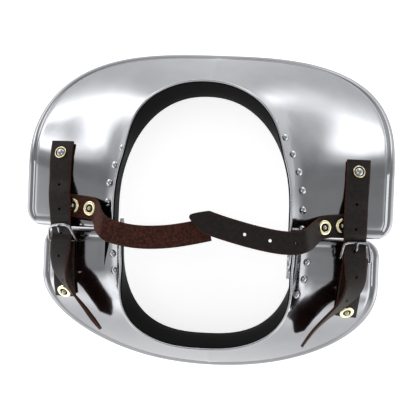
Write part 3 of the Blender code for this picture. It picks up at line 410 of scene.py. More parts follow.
def plate_sheet(half, near, share, left):
    """Outer and inner faces of a plate: the bare plate raised by the border bead, a half sine across the
    border with a shallow groove inside it, and by the crease, a narrow peak on the middle line."""
    grid, full = plate_run(half, near, share, left, sheet_rows)
    down = np.concatenate((np.zeros((len(grid), 1)),
                           np.cumsum(np.linalg.norm(np.diff(grid, axis=1), axis=2), axis=1)), axis=1)
    from_low = full[:, None] - down
    border = np.minimum(from_low, walk_from_end(half, near, share)[:, None])
    bump = bead_rise * np.sin(math.pi * np.clip(border / bead_width, 0.0, 1.0)) ** bead_power
    bump -= groove_depth * np.exp(-((border - bead_width - groove_offset) / groove_width) ** 2)
    aside = np.abs(grid[:, :, 0] - grid[len(grid) // 2, :, 0][None, :])
    peak = crease_rise * np.exp(-aside / crease_width)
    peak *= smooth_step(from_low / crease_fade) * smooth_step(down / crease_fade)
    outer = grid + facing(grid, half["side"]) * (bump + peak)[:, :, None]
    inner = outer - facing(outer, half["side"]) * plate_thickness
    outer[:, :, 2] = np.maximum(outer[:, :, 2], 0.0)
    inner[:, :, 2] = np.maximum(inner[:, :, 2], 0.0)
    return outer, inner


def sheet_rows(full):
    """Lengths down a column: 54 even steps to the border, then 14 close ones across it."""
    body = np.linspace(0.0, 1.0, 55)[None, :] * (full[:, None] - border_width)
    close = full[:, None] - np.linspace(border_width, 0.0, 15)[None, 1:]
    return np.concatenate((body, close), axis=1)


half_depth = 0.138
back_half = half_of(
    side=1.0, centre=0.0, end_line=-0.019,
    plate={"centre": 0.0, "half_width": 0.1565, "depth": half_depth, "power": 3.03, "side_line": 0.035,
           "shoulder_rise": 0.057, "neck_height": 0.092},
    throat={"half_width": 0.070, "depth": 0.093, "power": 2.15, "side_line": 0.0},
    rim={"flare_side": 0.0005, "flare_end": 0.0085, "top_side": 0.112, "top_end": 0.121})
front_half = half_of(
    side=-1.0, centre=0.0055, end_line=0.0198,
    plate={"centre": 0.0028, "half_width": 0.1437, "depth": half_depth, "power": 2.11, "side_line": 0.059,
           "shoulder_rise": 0.054, "neck_height": 0.090},
    throat={"half_width": 0.0705, "depth": 0.1015, "power": 2.6, "side_line": 0.025},
    rim={"flare_side": -0.0022, "flare_end": 0.0085, "top_side": 0.111, "top_end": 0.117})
plate_steel = polished_steel("polished_plate", 0.27, 0.13)
plate_dark = blackened_steel("plate_inside", 0.03, 0.45)
for name, half in (("back_plate", back_half), ("front_plate", front_half)):
    outer, inner = plate_sheet(half, *half_columns(12))
    vertices, faces, part = shell(outer, inner)
    piece = add_piece(name + "_sheet", vertices, faces.tolist(), (plate_steel, plate_dark, plate_steel), part)
    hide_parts(name)

# V-shaped slit in the front plate's left end, between its neck flange and its shoulder.
slit_offset = 0.0150
slit_width = 0.0075
slit_length = 0.032
slit_overrun = 0.0075
slit_heights = (0.043, 0.103)
slit_x = front_half["neck"][0][-1] - slit_offset
slit_y = front_half["neck"][1][-1]
slit_corners = ((slit_x, slit_y + slit_overrun), (slit_x + slit_width, slit_y + slit_overrun),
                (slit_x, slit_y - slit_length))
slit = new_object("slit", [(x, y, z) for z in slit_heights for x, y in slit_corners],
                  [(2, 1, 0), (3, 4, 5), (0, 1, 4, 3), (1, 2, 5, 4), (2, 0, 3, 5)])


def cut_away(piece, cutter):
    """Take a cutter's shape out of a piece for good, and remove the cutter."""
    cut = piece.modifiers.new("cut", "BOOLEAN")
    cut.operation = "DIFFERENCE"
    cut.object = cutter
    bpy.context.view_layer.update()
    result = bpy.data.meshes.new_from_object(piece.evaluated_get(bpy.context.evaluated_depsgraph_get()))
    piece.modifiers.remove(cut)
    piece.data = result
    bpy.data.objects.remove(cutter, do_unlink=True)


cut_away(bpy.data.objects["front_plate_sheet"], slit)


# Collars: 1.2 mm sheet in one piece with a flange under the plate, an upright wall that flares, and a
# rolled rim. Bright outside and on the roll, black satin inside. Tongues pass into the other half.
flare_from = 0.42
flare_over = 0.48
flare_power = 1.3
lip_radius = 0.0003
lip_room = 0.0015
wall_offset = plate_thickness + seat_gap
flange_width = 0.016
# Under the slit the black flange is painted shade: it is widened so that the slit shows black, as the shadow
# under the plate would.
slit_shade_flange_width = 0.028
slit_share = 0.35
slit_fade = 0.1
flange_steps = np.linspace(0.0, 1.0, 7)
bright_from_row = 30
tongue_table = np.array((
    # reach, share of the wall cut away below
    (0.0, 0.0), (0.02, 0.02), (0.35, 0.10), (0.7, 0.35), (1.0, 0.78),
))


def collar_section(half, columns_at):
    """Wall lines of each column: out and up of a flare by a power of the height, then an arc over the lip."""
    near, share, left = columns_at
    neck = on_outline(half["neck"], near, share, left)
    tangent = np.gradient(neck, axis=0)
    out = unit(np.stack((tangent[:, 1], -tangent[:, 0]), axis=1) * half["side"])
    forward = np.clip(neck[:, 1] * half["side"], 0.0, None)
    at_side = 1.0 - smooth_step((forward / np.max(forward) - flare_from) / flare_over)
    rim = half["rim"]
    flare = (rim["flare_end"] + (rim["flare_side"] - rim["flare_end"]) * at_side)[:, None]
    top = (rim["top_end"] + (rim["top_side"] - rim["top_end"]) * at_side)[:, None]
    foot = half["plate"]["neck_height"]
    steps = np.linspace(0.0, 1.0, 25)[None, :]
    wall_out = -wall_offset + flare * steps ** flare_power
    wall_up = foot + (top - lip_room - foot) * steps
    turn = np.radians(np.linspace(180.0, -50.0, 19))[None, 1:]
    roll_out = -wall_offset + flare + lip_radius + lip_radius * np.cos(turn)
    roll_up = top - lip_room + lip_radius * np.sin(turn)
    rise_out = np.concatenate((wall_out, roll_out), axis=1)
    rise_up = np.concatenate((wall_up, roll_up), axis=1)
    plan = neck[:, None, :] + out[:, None, :] * rise_out[:, :, None]
    return np.concatenate((plan, rise_up[:, :, None]), axis=2)


def lengths_of(line):
    """Length walked along a line to each of its points."""
    return np.concatenate(([0.0], np.cumsum(np.linalg.norm(np.diff(line, axis=0), axis=1))))


def tongue_columns(wall, side, length, count):
    """A wall column carried straight on past its end, its foot rising by a table of the reach to a tip."""
    walk = lengths_of(wall)
    reach = np.linspace(0.0, 1.0, count + 1)[1:]
    cut = eased_table(reach, tongue_table[:, 0], tongue_table[:, 1])
    wanted = walk[-1] * (cut[:, None] + (1.0 - cut[:, None]) * np.linspace(0.0, 1.0, len(wall))[None, :])
    columns = np.stack([np.interp(wanted, walk, wall[:, axis]) for axis in range(3)], axis=-1)
    columns[:, :, 1] -= side * (reach * length)[:, None]
    return columns


def flange_under(half, columns_at):
    """Closed flange below the plate's neck edge, black all over and wider towards the slit so that it lies
    below all of it: there it is a black sheet put as painted shade, seen through the slit where the plate's
    underside would be in shadow.
    """
    _, share, left = columns_at
    past_slit = smooth_step((share - slit_share) / slit_fade)
    at_slit = (1.0 - past_slit) * left * (half is front_half)
    widths = flange_width + (slit_shade_flange_width - flange_width) * at_slit
    flange, _ = plate_run(half, *columns_at, lambda full: widths[:, None] * flange_steps[None, :])
    top = flange - facing(flange, half["side"]) * (plate_thickness + fit_gap)
    return shell(top, top - facing(top, half["side"]) * collar_thickness)


rim_steel = polished_steel("polished_rim", 0.34, 0.25)
collar_black = blackened_steel("collar_inside", 0.005, 0.45)
for name, half, right_tongue, left_tongue in (("back_collar", back_half, 0.034, 0.0),
                                              ("front_collar", front_half, 0.0, 0.010)):
    columns_at = half_columns(4)
    wall = collar_section(half, columns_at)
    if right_tongue:
        wall = np.concatenate((tongue_columns(wall[0], half["side"], right_tongue, 16)[::-1], wall))
    if left_tongue:
        wall = np.concatenate((wall, tongue_columns(wall[-1], half["side"], left_tongue, 8)))
    lean = unit(np.cross(np.gradient(wall, axis=0), np.gradient(wall, axis=1)) * half["side"])
    vertices, faces, part = shell(wall, wall - lean * collar_thickness)
    columns, rows = wall.shape[0] - 1, wall.shape[1] - 1
    inner_part = part[columns * rows:2 * columns * rows].reshape(columns, rows)
    inner_part[:, bright_from_row:] = 0
    under, under_faces, under_part = flange_under(half, columns_at)
    faces = np.concatenate((faces[:, ::-1], under_faces + len(vertices)))
    part = np.concatenate((part, np.ones_like(under_part)))
    piece = add_piece(name + "_sheet", np.concatenate((vertices, under)), faces.tolist(),
                      (rim_steel, collar_black, rim_steel), part)
    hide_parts(name)


# Collar rivets: small polished steel domes at an even pitch round both neck edges.
def tube_faces(rings, sides, start=0, looped=False):
    """Quads between neighbouring rings of a tube, and a face over each end unless the rings close a loop."""
    index = start + np.arange(rings * sides).reshape(rings, sides)
    beside = np.roll(index, -1, axis=1)
    if looped:
        quads = np.stack((index, beside, np.roll(beside, -1, axis=0), np.roll(index, -1, axis=0)), axis=-1)
        return quads.reshape(-1, 4).tolist()
    quads = np.stack((index[:-1], beside[:-1], beside[1:], index[1:]), axis=-1)
    return quads.reshape(-1, 4).tolist() + [index[0][::-1].tolist(), index[-1].tolist()]


def rings_about(normals, sides):
    """Unit circles square to each normal, from a direction that none of them has."""
    slanting = (0.31, 0.95, 0.05)
    aside = unit(np.cross(normals, np.tile(slanting, (len(normals), 1))))
    third = np.cross(normals, aside)
    turn = np.arange(sides) * 2.0 * math.pi / sides
    return aside[:, None, :] * np.cos(turn)[None, :, None] + third[:, None, :] * np.sin(turn)[None, :, None]


def domes(centres, normals, radius, rise, sides, rings):
    """Domes as rings r = R cos a, h = H sin a about each centre, turned to its normal, all in one array."""
    angle = np.linspace(0.0, math.pi / 2.0, rings + 1)[:-1]
    out = (radius * np.cos(angle))[None, :, None, None] * rings_about(normals, sides)[:, None, :, :]
    up = (rise * np.sin(angle))[None, :, None, None] * normals[:, None, None, :]
    ring = centres[:, None, None, :] + out + up
    tops = centres + normals * rise
    vertices = np.concatenate((ring.reshape(len(centres), -1, 3), tops[:, None, :]), axis=1).reshape(-1, 3)
    faces = []
    for start in range(0, len(vertices), rings * sides + 1):
        top = start + rings * sides
        last = np.arange(top - sides, top)
        faces += tube_faces(rings, sides, start)[:-1]
        faces += np.stack((last, np.roll(last, -1), np.full(sides, top)), axis=-1).tolist()
    return vertices, faces


rivet_radius = 0.0034
rivet_rise = 0.0024
rivet_inset = 0.0108
rivet_from_end = 0.006
rivet_border = 0.0068
rivet_sink = 0.0002
beside_share = 0.01
probe = 0.001
rivet_steel = polished_steel("polished_rivet", 0.36, 0.15)


def rivet_rows(full):
    """Lengths down a column just above a rivet, at it and just below it."""
    return rivet_inset + np.tile((-probe, 0.0, probe), (len(full), 1))


for name, half, count, left_out in (("back", back_half, 21, ()), ("front", front_half, 20, (19,))):
    length = half["neck"][2][-1]
    walks = rivet_from_end + (length - 2.0 * rivet_from_end) * np.arange(count) / (count - 1)
    walks = np.delete(walks, left_out)
    left = walks > length / 2.0
    from_end = np.where(left, length - walks, walks)
    near = np.minimum(from_end, rivet_border)
    share = (from_end - near) / (length / 2.0 - near)
    patch, _ = plate_run(half, near, share, left, rivet_rows)
    behind, _ = plate_run(half, near, np.clip(share - beside_share, 0.0, 1.0), left, rivet_rows)
    ahead, _ = plate_run(half, near, share + beside_share, left, rivet_rows)
    at_end = (share < beside_share)[:, None]
    across = np.where(at_end, ahead[:, 1] - patch[:, 1], patch[:, 1] - behind[:, 1])
    across *= np.where(left, -1.0, 1.0)[:, None]
    normal = unit(np.cross(patch[:, 2] - patch[:, 0], across) * half["side"])
    vertices, faces = domes(patch[:, 1] - normal * rivet_sink, normal, rivet_radius, rivet_rise, 28, 7)
    piece = add_piece(name + "_collar_rivets", vertices, faces, (rivet_steel,), sharp=50.0)
    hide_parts(*[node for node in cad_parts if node.startswith(name + "_rivet")])


# Straps: 21 mm wide, 2.4 mm leather, nearly black and smooth on the grain side, reddish-brown suede on
# the flesh side, with brown cut edges. They lie on the plates as worked out by a fall of rays.
strap_half_width = 0.0105
strap_thickness = 0.0024
lay_clear = 0.0006
strap_skew = 0.026
worn_from = 0.72
worn_brown = (0.05, 0.02, 0.013, 1.0)
coarse_steps = 2
fine_steps = 8


def strap_leather(name, dark, pale, roughness, grain):
    """Leather: cloudy colour, edges paler by the rim attribute, pores from small cells and long creases."""
    material, tree, shader = finish_of(name, dark, 0.0, roughness, Specular_IOR_Level=0.15)
    at = add_node(tree, "ShaderNodeTexCoord").outputs["Object"]
    rim = add_node(tree, "ShaderNodeAttribute", attribute_name="rim").outputs["Fac"]
    cloud = add_node(tree, "ShaderNodeTexNoise", {"Vector": at, "Scale": grain * 0.18, "Detail": 6.0,
                                                  "Roughness": 0.65}).outputs["Fac"]
    tone = ramp(tree, cloud, ((0.36, dark), (0.66, pale)))
    worn = add_node(tree, "ShaderNodeMath", {0: rim, 1: cloud}, operation="MULTIPLY").outputs[0]
    worn_share = add_node(tree, "ShaderNodeMapRange", {"Value": worn, "From Min": 0.42, "From Max": 0.75})
    mixed = add_node(tree, "ShaderNodeMix", {0: worn_share.outputs[0], 6: tone, 7: worn_brown},
                     data_type="RGBA")
    tree.links.new(mixed.outputs[2], shader.inputs["Base Color"])
    cells = add_node(tree, "ShaderNodeTexVoronoi", {"Vector": at, "Scale": grain},
                     feature="DISTANCE_TO_EDGE").outputs["Distance"]
    fine = add_node(tree, "ShaderNodeTexNoise", {"Vector": at, "Scale": grain * 1.7, "Detail": 5.0})
    both = add_node(tree, "ShaderNodeMath", {0: cells, 1: fine.outputs["Fac"]}, operation="ADD").outputs[0]
    bump = add_node(tree, "ShaderNodeBump", {"Height": both, "Distance": 0.00016, "Strength": 0.7})
    tree.links.new(bump.outputs[0], shader.inputs["Normal"])
    matt = add_node(tree, "ShaderNodeMapRange", {"Value": cloud, "To Min": roughness * 0.8,
                                                 "To Max": min(1.0, roughness * 1.3)})
    tree.links.new(matt.outputs[0], shader.inputs["Roughness"])
    return material


gap_reach = 0.0016
ray_heading = Vector((0.0, 0.0, -1.0))


def drop_heights(places):
    """Height of the steel below each place in plan, bridging the gap between the halves, or nan beside it."""
    heights = []
    for x, y in places:
        hits = [plates_tree.ray_cast(Vector((x, y + step, 1.0)), ray_heading)[0]
                for step in (-gap_reach, 0.0, gap_reach)]
        hits = [hit.z for hit in hits if hit is not None]
        heights.append(max(hits) if hits else math.nan)
    return np.array(heights)


def eased_rows(rows, steps):
    """Catmull-Rom curve through the rows of a table, with even steps between neighbours."""
    rows = np.array(rows, dtype=float)
    ends = np.vstack((2.0 * rows[0] - rows[1], rows, 2.0 * rows[-1] - rows[-2]))
    t = (np.arange(steps) / steps)[None, :, None]
    before, start, end, after = ends[:-3, None], ends[1:-2, None], ends[2:-1, None], ends[3:, None]
    line = 0.5 * (2.0 * start + (end - before) * t + (2.0 * before - 5.0 * start + 4.0 * end - after) * t * t
                  + (3.0 * start - before - 3.0 * end + after) * t ** 3)
    return np.vstack((line.reshape(-1, rows.shape[1]), rows[-1:]))


slope_weights = (0.06, 0.11, 0.2, 0.26, 0.2, 0.11, 0.06)
least_level = 0.3


def laid_line(plan, lift, lean, upright):
    """Centre points and across directions of a strap on the steel: each section takes the steel's slope, or
    by its lean turns towards upright, and is raised until it clears the steel by its lift."""
    run = unit(np.gradient(plan, axis=0))
    sideways = np.stack((run[:, 1], -run[:, 0]), axis=1)
    beside = np.array((-strap_half_width, 0.0, strap_half_width))
    found = np.stack([drop_heights(plan + sideways * reach) for reach in beside], axis=1)
    first = np.where(np.isnan(found[:, 0]), 1, 0)
    last = np.where(np.isnan(found[:, 2]), 1, 2)
    each = np.arange(len(plan))
    slope = np.arctan2(found[each, last] - found[each, first], beside[last] - beside[first])
    eased = np.convolve(np.pad(slope, 3, mode="edge"), slope_weights, mode="valid")
    turn = eased + (upright - eased) * lean
    level, rise = np.cos(turn), np.sin(turn)
    need = [drop_heights(plan + sideways * (reach * level)[:, None]) - reach * rise
            for reach in np.linspace(-strap_half_width, strap_half_width, 5)]
    half_above = strap_thickness / 2.0 / np.maximum(least_level, level)
    height = np.nanmax(np.stack(need, axis=1), axis=1) + lift + half_above
    centres = np.concatenate((plan, height[:, None]), axis=1)
    return centres, np.concatenate((sideways * level[:, None], rise[:, None]), axis=1)


def strap_section():
    """Cross-section of a strap as shares of its half width and half thickness: two flat faces, the upper one
    slightly crowned, with rounded edges. The part is 0 top, 1 bottom, 2 edge."""
    flat = np.linspace(-1.0, 1.0, 9)
    corner = np.radians(np.linspace(0.0, 180.0, 7))[1:-1]
    round_off = 0.10
    crown = 0.06
    edge_height = 0.96
    top = np.stack((flat * (1.0 - round_off), 1.0 - crown * flat ** 4), axis=1)
    right = np.stack((1.0 - round_off + round_off * np.sin(corner), np.cos(corner) * edge_height), axis=1)
    bottom = np.stack((-flat * (1.0 - round_off), -np.ones(len(flat))), axis=1)
    section = np.concatenate((top, right, bottom, -right))
    part = np.concatenate((np.zeros(8), np.full(6, 2), np.ones(8), np.full(6, 2))).astype(int)
    return section, part


def add_strap(name, centres, across, widths, materials, node):
    """Cross-section carried along the strap's line, closed at both ends, with the rim attribute rising to 1
    at its edges."""
    section, part = strap_section()
    face = unit(np.cross(across, unit(np.gradient(centres, axis=0))))
    reach = section[None, :, 0] * strap_half_width * widths[:, None]
    rise = np.tile(section[None, :, 1] * strap_thickness / 2.0, (len(centres), 1))
    rings = centres[:, None, :] + across[:, None, :] * reach[:, :, None] + face[:, None, :] * rise[:, :, None]
    count, around = rings.shape[:2]
    piece = add_piece(name, rings.reshape(-1, 3), tube_faces(count, around), materials,
                      np.concatenate((np.tile(part, count - 1), (2, 2))), sharp=60.0)
    rim = np.tile(np.clip((np.abs(section[:, 0]) - worn_from) / (1.0 - worn_from), 0.0, 1.0), count)
    piece.data.attributes.new("rim", "FLOAT", "POINT").data.foreach_set("value", rim.astype(np.float32))
    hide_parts(node)
    return face, piece


def at_walk(line, walk, values):
    """Values of a line's points at a length walked along it."""
    return np.array([np.interp(walk, lengths_of(line), values[:, axis]) for axis in range(3)])


def walk_to(line, axis, value):
    """Length walked along a line that falls along an axis when it reaches a value."""
    return float(np.interp(-value, -line[:, axis], lengths_of(line)))


point_length = 0.014
blunt_share = 0.12


def pointed(centres):
    """Width share of each section, narrowing over the last stretch to a blunt point."""
    lengths = lengths_of(centres)
    to_end = (lengths[-1] - lengths) / point_length
    return np.clip(blunt_share + (1.0 - blunt_share) * to_end ** 0.8, blunt_share, 1.0)


def punch(piece, stations):
    """Round holes through a strap: one cylinder per centre, normal and radius, cut away together."""
    sides = 24
    centres, normals, radii = (np.array(column) for column in zip(*stations))
    normals = unit(normals)
    ring = centres[:, None, :] + rings_about(normals, sides) * radii[:, None, None]
    through = normals[:, None, :] * strap_thickness
    vertices = np.stack((ring - through, ring + through), axis=1).reshape(-1, 3)
    faces = sum((tube_faces(2, sides, start) for start in range(0, len(vertices), 2 * sides)), [])
    cut_away(piece, new_object("punch", vertices.tolist(), faces))


plate_vertices = []
plate_faces = []
for node in ("back_plate", "front_plate"):
    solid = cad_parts[node].data
    start = len(plate_vertices)
    plate_vertices.extend(v.co.copy() for v in solid.vertices)
    plate_faces.extend([start + k for k in face.vertices] for face in solid.polygons)
plates_tree = BVHTree.FromPolygons(plate_vertices, plate_faces)

grain_side = strap_leather("leather_grain", (0.006, 0.004, 0.004), (0.016, 0.011, 0.011), 0.55, 1500.0)
flesh_side = strap_leather("leather_flesh", (0.012, 0.004, 0.003), (0.068, 0.019, 0.012), 0.9, 2600.0)
cut_edge = strap_leather("leather_edge", (0.020, 0.008, 0.005), (0.055, 0.022, 0.014), 0.8, 2200.0)
brass = finish_of("brass_washer", (0.83, 0.76, 0.47), 1.0, 0.2)[0]

# Shoulder straps: riveted to the back plate, passed through the buckle and ending in a free, curled tail
# whose point stands on edge. Five punched holes, the tongue's a little wider.
shoulder_rows = (
    # across, along, lift, lean
    (1.000, 0.362, 0.25, 0.00), (1.000, 0.287, 0.25, 0.00), (0.998, 0.200, 0.30, 0.00),
    (0.995, 0.120, 0.60, 0.00), (0.992, 0.050, 2.20, 0.00), (0.988, -0.020, 2.60, 0.00),
    (0.984, -0.090, 2.65, 0.00), (0.980, -0.170, 3.20, 0.00), (0.984, -0.246, 4.40, 0.00),
    (0.990, -0.320, 4.40, 0.06), (0.982, -0.410, 3.30, 0.26), (0.930, -0.500, 2.20, 0.60),
    (0.855, -0.580, 1.80, 0.78), (0.785, -0.660, 1.10, 0.85), (0.735, -0.730, 0.90, 0.88),
    (0.690, -0.800, 0.90, 0.90),
)
shoulder_inset = 0.126
bar_line = -0.034
tail_shift = 0.0025
tip_shift = -0.005
hole_pitch = 0.021
hole_radius = 0.0013
tongue_hole_radius = 0.0019
tongue_back = 0.0075
shoulder_rivet_share = 0.287
laid_straps = {}
for label, hand in (("left", -1.0), ("right", 1.0)):
    rows = eased_rows(shoulder_rows, coarse_steps)
    shift = tail_shift * smooth_step((0.15 - rows[:, 1]) / 0.45)
    shift = shift + tip_shift * smooth_step((-0.35 - rows[:, 1]) / 0.40)
    skew = hand * shoulder_inset * strap_skew
    plan = np.stack((shift + hand * shoulder_inset * rows[:, 0], rows[:, 1] * half_depth - skew), axis=1)
    centres, across = laid_line(plan, rows[:, 2] * strap_thickness, rows[:, 3], hand * math.pi / 2.0)
    fine = eased_rows(np.hstack((centres, across)), fine_steps)
    centres, across = fine[:, :3], unit(fine[:, 3:])
    face, piece = add_strap("shoulder_strap_leather_" + label, centres, across, pointed(centres),
                            (grain_side, flesh_side, cut_edge), "shoulder_strap_" + label)
    tongue_walk = walk_to(centres, 1, bar_line - skew) - tongue_back
    walks = [tongue_walk + k * hole_pitch for k in range(-2, 3)]
    radii = (hole_radius, hole_radius, tongue_hole_radius, hole_radius, hole_radius)
    punch(piece, [(at_walk(centres, walk, centres), at_walk(centres, walk, face), radius)
                  for walk, radius in zip(walks, radii)])
    seat = walk_to(centres, 1, shoulder_rivet_share * half_depth - skew)
    laid_straps[label] = {"centres": centres, "across": across, "face": face, "tongue_walk": tongue_walk,
                          "seat": (at_walk(centres, seat, centres), at_walk(centres, seat, face))}

# Buckle straps: a short strap riveted to the front plate and folded back over the buckle's bar.
bow_radius = 0.0011
bar_clear = 0.0004
around_bar = bow_radius + bar_clear + strap_thickness / 2.0
buckle_inset = 0.1205
buckle_middle = 0.0005
bar_shift = 0.001
buckle_rivet_share = -0.548
past_rivet = 0.045 * half_depth
fold_reach = np.array((0.003, 0.006, 0.009))
for label, hand in (("left", -1.0), ("right", 1.0)):
    strap = laid_straps[label]
    bar_y = bar_line - hand * shoulder_inset * strap_skew
    walk = walk_to(strap["centres"], 1, bar_y)
    over_bar = at_walk(strap["centres"], walk, strap["centres"])
    bar_plan = np.array((over_bar[0] - hand * bar_shift, bar_y))
    rivet_plan = np.array((buckle_middle + hand * buckle_inset,
                           buckle_rivet_share * half_depth - hand * buckle_inset * strap_skew))
    length = np.linalg.norm(bar_plan - rivet_plan)
    heading = (bar_plan - rivet_plan) / length
    walks = np.linspace(-past_rivet, length, 6)
    plan = rivet_plan[None, :] + heading[None, :] * walks[:, None]
    flat = np.zeros(len(plan))
    centres, across = laid_line(plan, flat + lay_clear, flat, 0.0)
    run = unit(centres[-1] - centres[-2])
    side = unit(across[-1] - run * np.dot(across[-1], run))
    up = np.cross(side, run)
    bar = centres[-1] + up * around_bar
    turn = np.linspace(0.0, math.pi, 13)[1:, None]
    fold = bar + around_bar * (np.sin(turn) * run - np.cos(turn) * up)
    back_over = bar + around_bar * up - run * fold_reach[:, None]
    fine = eased_rows(np.hstack((centres, across)), fine_steps)
    line = np.vstack((fine[:, :3], fold, back_over))
    sides = unit(np.vstack((fine[:, 3:], np.tile(side, (len(fold) + len(fold_reach), 1)))))
    face, _ = add_strap("buckle_strap_leather_" + label, line, sides, np.ones(len(line)),
                        (grain_side, flesh_side, cut_edge), "buckle_strap_" + label)
    strap["bar"], strap["bar_side"], strap["bar_walk"] = bar, side, walk
    strap["buckle_seat"] = (at_walk(line, past_rivet, line), at_walk(line, past_rivet, face))


# Buckles: a bow of 2.2 mm polished wire round the strap, closed by its bar, and a tongue of thinner wire.
def wire(name, line, radius, closed, node):
    """Round wire along a line: circles square to it, carried from each point to the next."""
    sides = 14
    if closed:
        heading = unit(np.roll(line, -1, axis=0) - np.roll(line, 1, axis=0))
    else:
        heading = unit(np.gradient(line, axis=0))
    level = unit(np.cross((0.05, 0.02, 1.0), heading))
    up = np.cross(heading, level)
    turn = np.arange(sides) * 2.0 * math.pi / sides
    rings = line[:, None, :] + radius * (np.cos(turn)[None, :, None] * level[:, None, :]
                                         + np.sin(turn)[None, :, None] * up[:, None, :])
    faces = tube_faces(len(line), sides, looped=closed)
    piece = add_piece(name, rings.reshape(-1, 3), faces, (buckle_steel,), sharp=50.0)
    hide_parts(node)


buckle_steel = polished_steel("polished_buckle", 0.28, 0.2)
bow_power = 3.2
bow_reach = 0.016
bow_clear = 0.0034
bow_half_width = strap_half_width + bow_clear
bow_corner_share = 0.8
prong_radius = 0.0009
prong_over_bow = 0.0009
prong_past_bow = 0.0012
prong_before_bow = 0.002
prong_past_hole = 0.0018
prong_in_hole = 0.2
prong_below_hole = 0.7
for label in ("left", "right"):
    strap = laid_straps[label]
    bar, side, walk = strap["bar"], strap["bar_side"], strap["bar_walk"]
    turn = np.linspace(0.0, math.pi, 49)
    out = np.sign(np.cos(turn)) * np.abs(np.cos(turn)) ** (2.0 / bow_power)
    ahead = np.abs(np.sin(turn)) ** (2.0 / bow_power)
    there = walk - ahead * bow_reach
    over, beside, above = (np.stack([at_walk(strap["centres"], w, strap[values]) for w in there])
                           for values in ("centres", "across", "face"))
    over_strap = over - beside * (out * bow_half_width)[:, None] + above * around_bar
    beside_bar = bar + side * (out * bow_half_width)[:, None]
    share = np.minimum(1.0, ahead / bow_corner_share)[:, None]
    bow = beside_bar + (over_strap - beside_bar) * share
    bar_run = bar + side * (bow_half_width * np.linspace(-1.0, 1.0, 17)[1:-1])[:, None]
    wire("buckle_bow_" + label, np.vstack((bow, bar_run)), bow_radius, True, "buckle_frame_" + label)
    hole = at_walk(strap["centres"], strap["tongue_walk"], strap["centres"])
    hole_normal = unit(at_walk(strap["centres"], strap["tongue_walk"], strap["face"]))
    bow_normal = unit(at_walk(strap["centres"], walk - bow_reach, strap["face"]))
    tip = bow[len(bow) // 2] + bow_normal * (bow_radius + prong_radius + prong_over_bow)
    forward = unit(tip - hole)
    through = hole_normal * strap_thickness
    prong = np.stack((tip + forward * prong_past_bow, tip, tip - forward * prong_before_bow,
                      hole + through + forward * prong_past_hole,
                      hole + through * prong_in_hole, hole - through * prong_below_hole))
    wire("buckle_prong_" + label, eased_rows(prong, 6), prong_radius, False, "buckle_tongue_" + label)

# Neck straps: riveted flat to the back plate on each side, rising over the rim and crossing the opening.
# The left one lies flesh side up below the pointed right one.
neck_rows = {
    # across, along, rise, slew
    "left": ((-0.792, -0.022, 0.00, -0.05), (-0.713, -0.030, 0.00, -0.05), (-0.612, -0.040, 0.00, -0.06),
             (-0.573, -0.062, 0.24, -0.10), (-0.545, -0.098, 0.72, -0.12), (-0.510, -0.135, 1.02, -0.10),
             (-0.470, -0.160, 1.04, -0.08), (-0.380, -0.180, 1.05, -0.02), (-0.280, -0.184, 1.05, 0.03),
             (-0.160, -0.170, 1.04, 0.09), (-0.040, -0.140, 1.01, 0.13), (0.050, -0.112, 0.99, 0.13)),
    "right": ((0.790, -0.034, 0.00, -0.07), (0.727, -0.040, 0.00, -0.07), (0.631, -0.058, 0.00, -0.08),
              (0.599, -0.083, 0.30, -0.11), (0.574, -0.113, 0.82, -0.12), (0.543, -0.140, 1.07, -0.08),
              (0.490, -0.158, 1.07, -0.03), (0.400, -0.158, 1.10, 0.05), (0.270, -0.136, 1.13, 0.12),
              (0.120, -0.098, 1.13, 0.17), (0.020, -0.066, 1.12, 0.18), (-0.055, -0.042, 1.12, 0.18)),
}
half_across = 0.157
rim_height = 0.112
rim_clear = 0.0010
over_rim = rim_height + rim_clear + strap_thickness / 2.0
neck_width_share = 0.905
laid_rows = 5
washer_rows = (2, 4)
last_hole_from_tip = 0.047
neck_seats = {}
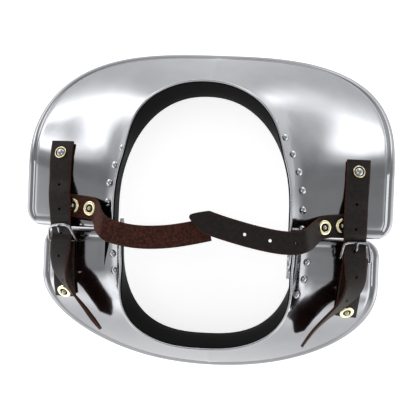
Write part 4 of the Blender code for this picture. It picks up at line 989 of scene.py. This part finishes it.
for label, table in neck_rows.items():
    rows = eased_rows(table, coarse_steps)
    x = rows[:, 0] * half_across
    plan = np.stack((x, rows[:, 1] * half_depth - x * strap_skew), axis=1)
    flat = np.zeros(laid_rows)
    laid, laid_across = laid_line(plan[:laid_rows], flat + lay_clear, flat, 0.0)
    level = laid[-1, 2] + (over_rim - laid[-1, 2]) * rows[:, 2]
    level[:laid_rows] = laid[:, 2]
    centres = np.concatenate((plan, level[:, None]), axis=1)
    slew = rows[:, 3] * math.pi / 2.0
    towards = math.copysign(1.0, plan[-1, 0] - plan[0, 0])
    across = np.stack((np.sin(slew), -towards * np.cos(slew), np.zeros(len(slew))), axis=1)
    across[:laid_rows] = laid_across
    coarse_face = unit(np.cross(across, unit(np.gradient(centres, axis=0))))
    neck_seats[label] = [(centres[k], coarse_face[k]) for k in washer_rows]
    fine = eased_rows(np.hstack((centres, across)), fine_steps)
    centres, across = fine[:, :3], unit(fine[:, 3:])
    upper, lower = (flesh_side, grain_side) if label == "left" else (grain_side, flesh_side)
    widths = neck_width_share * (pointed(centres) if label == "right" else np.ones(len(centres)))
    face, piece = add_strap("neck_strap_leather_" + label, centres, across, widths, (upper, lower, cut_edge),
                            "neck_strap_" + label)
    if label == "right":
        total = lengths_of(centres)[-1]
        walks = [total - last_hole_from_tip - k * hole_pitch for k in range(3)]
        punch(piece, [(at_walk(centres, w, centres), at_walk(centres, w, face), hole_radius) for w in walks])


# Washers and strap rivets: pale brass rings with a rounded crown, each with a small steel dome in it.
def washers(centres, normals, radius, hole):
    """Washers: a rounded profile from the outer foot over the crown to the hole, turned about each normal."""
    sides = 48
    turn = np.radians(np.linspace(0.0, 180.0, 11))
    out = (radius + hole) / 2.0 + (radius - hole) / 2.0 * np.cos(turn)
    up = washer_rise * np.abs(np.sin(turn)) ** washer_power
    up[[0, -1]] = -washer_sink
    ring = rings_about(normals, sides)[:, None, :, :]
    vertices = (centres[:, None, None, :] + ring * out[None, :, None, None]
                + normals[:, None, None, :] * up[None, :, None, None])
    each = len(turn) * sides
    faces = sum((tube_faces(len(turn), sides, k * each, looped=True) for k in range(len(centres))), [])
    return vertices.reshape(-1, 3), faces


def add_fittings(name, vertices, faces, material, node, slot):
    """Washers or rivet heads of one strap, for the solids whose names start with the node's."""
    piece = add_piece(name, vertices, faces, (material,), sharp=50.0)
    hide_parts(*[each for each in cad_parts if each.startswith(node)])


washer_rise = 0.0014
washer_power = 0.4
washer_sink = 0.0010
washer_lift = 0.0015
head_rise = 0.0025
shoulder_seats = {label: [strap["seat"]] for label, strap in laid_straps.items()}
buckle_seats = {label: [strap["buckle_seat"]] for label, strap in laid_straps.items()}
fittings = (
    # strap, places, washer radius, hole radius, head radius
    ("shoulder", shoulder_seats, 0.0052, 0.0042, 0.0038),
    ("buckle", buckle_seats, 0.0062, 0.0034, 0.0021),
    ("neck", neck_seats, 0.0062, 0.0034, 0.0021),
)
for tag, seats, washer_radius, washer_hole, head_radius in fittings:
    for label, places in seats.items():
        ending = "_%s_%s" % (tag, label)
        normals = unit(np.array([normal for _, normal in places]))
        centres = np.array([centre for centre, _ in places]) + normals * washer_lift
        add_fittings("washer_ring" + ending, *washers(centres, normals, washer_radius, washer_hole), brass,
                     "washer" + ending, "washer_brass")
        add_fittings("rivet_head" + ending, *domes(centres, normals, head_radius, head_rise, 32, 8),
                     rivet_steel, "strap_rivet" + ending, "rivet_steel")
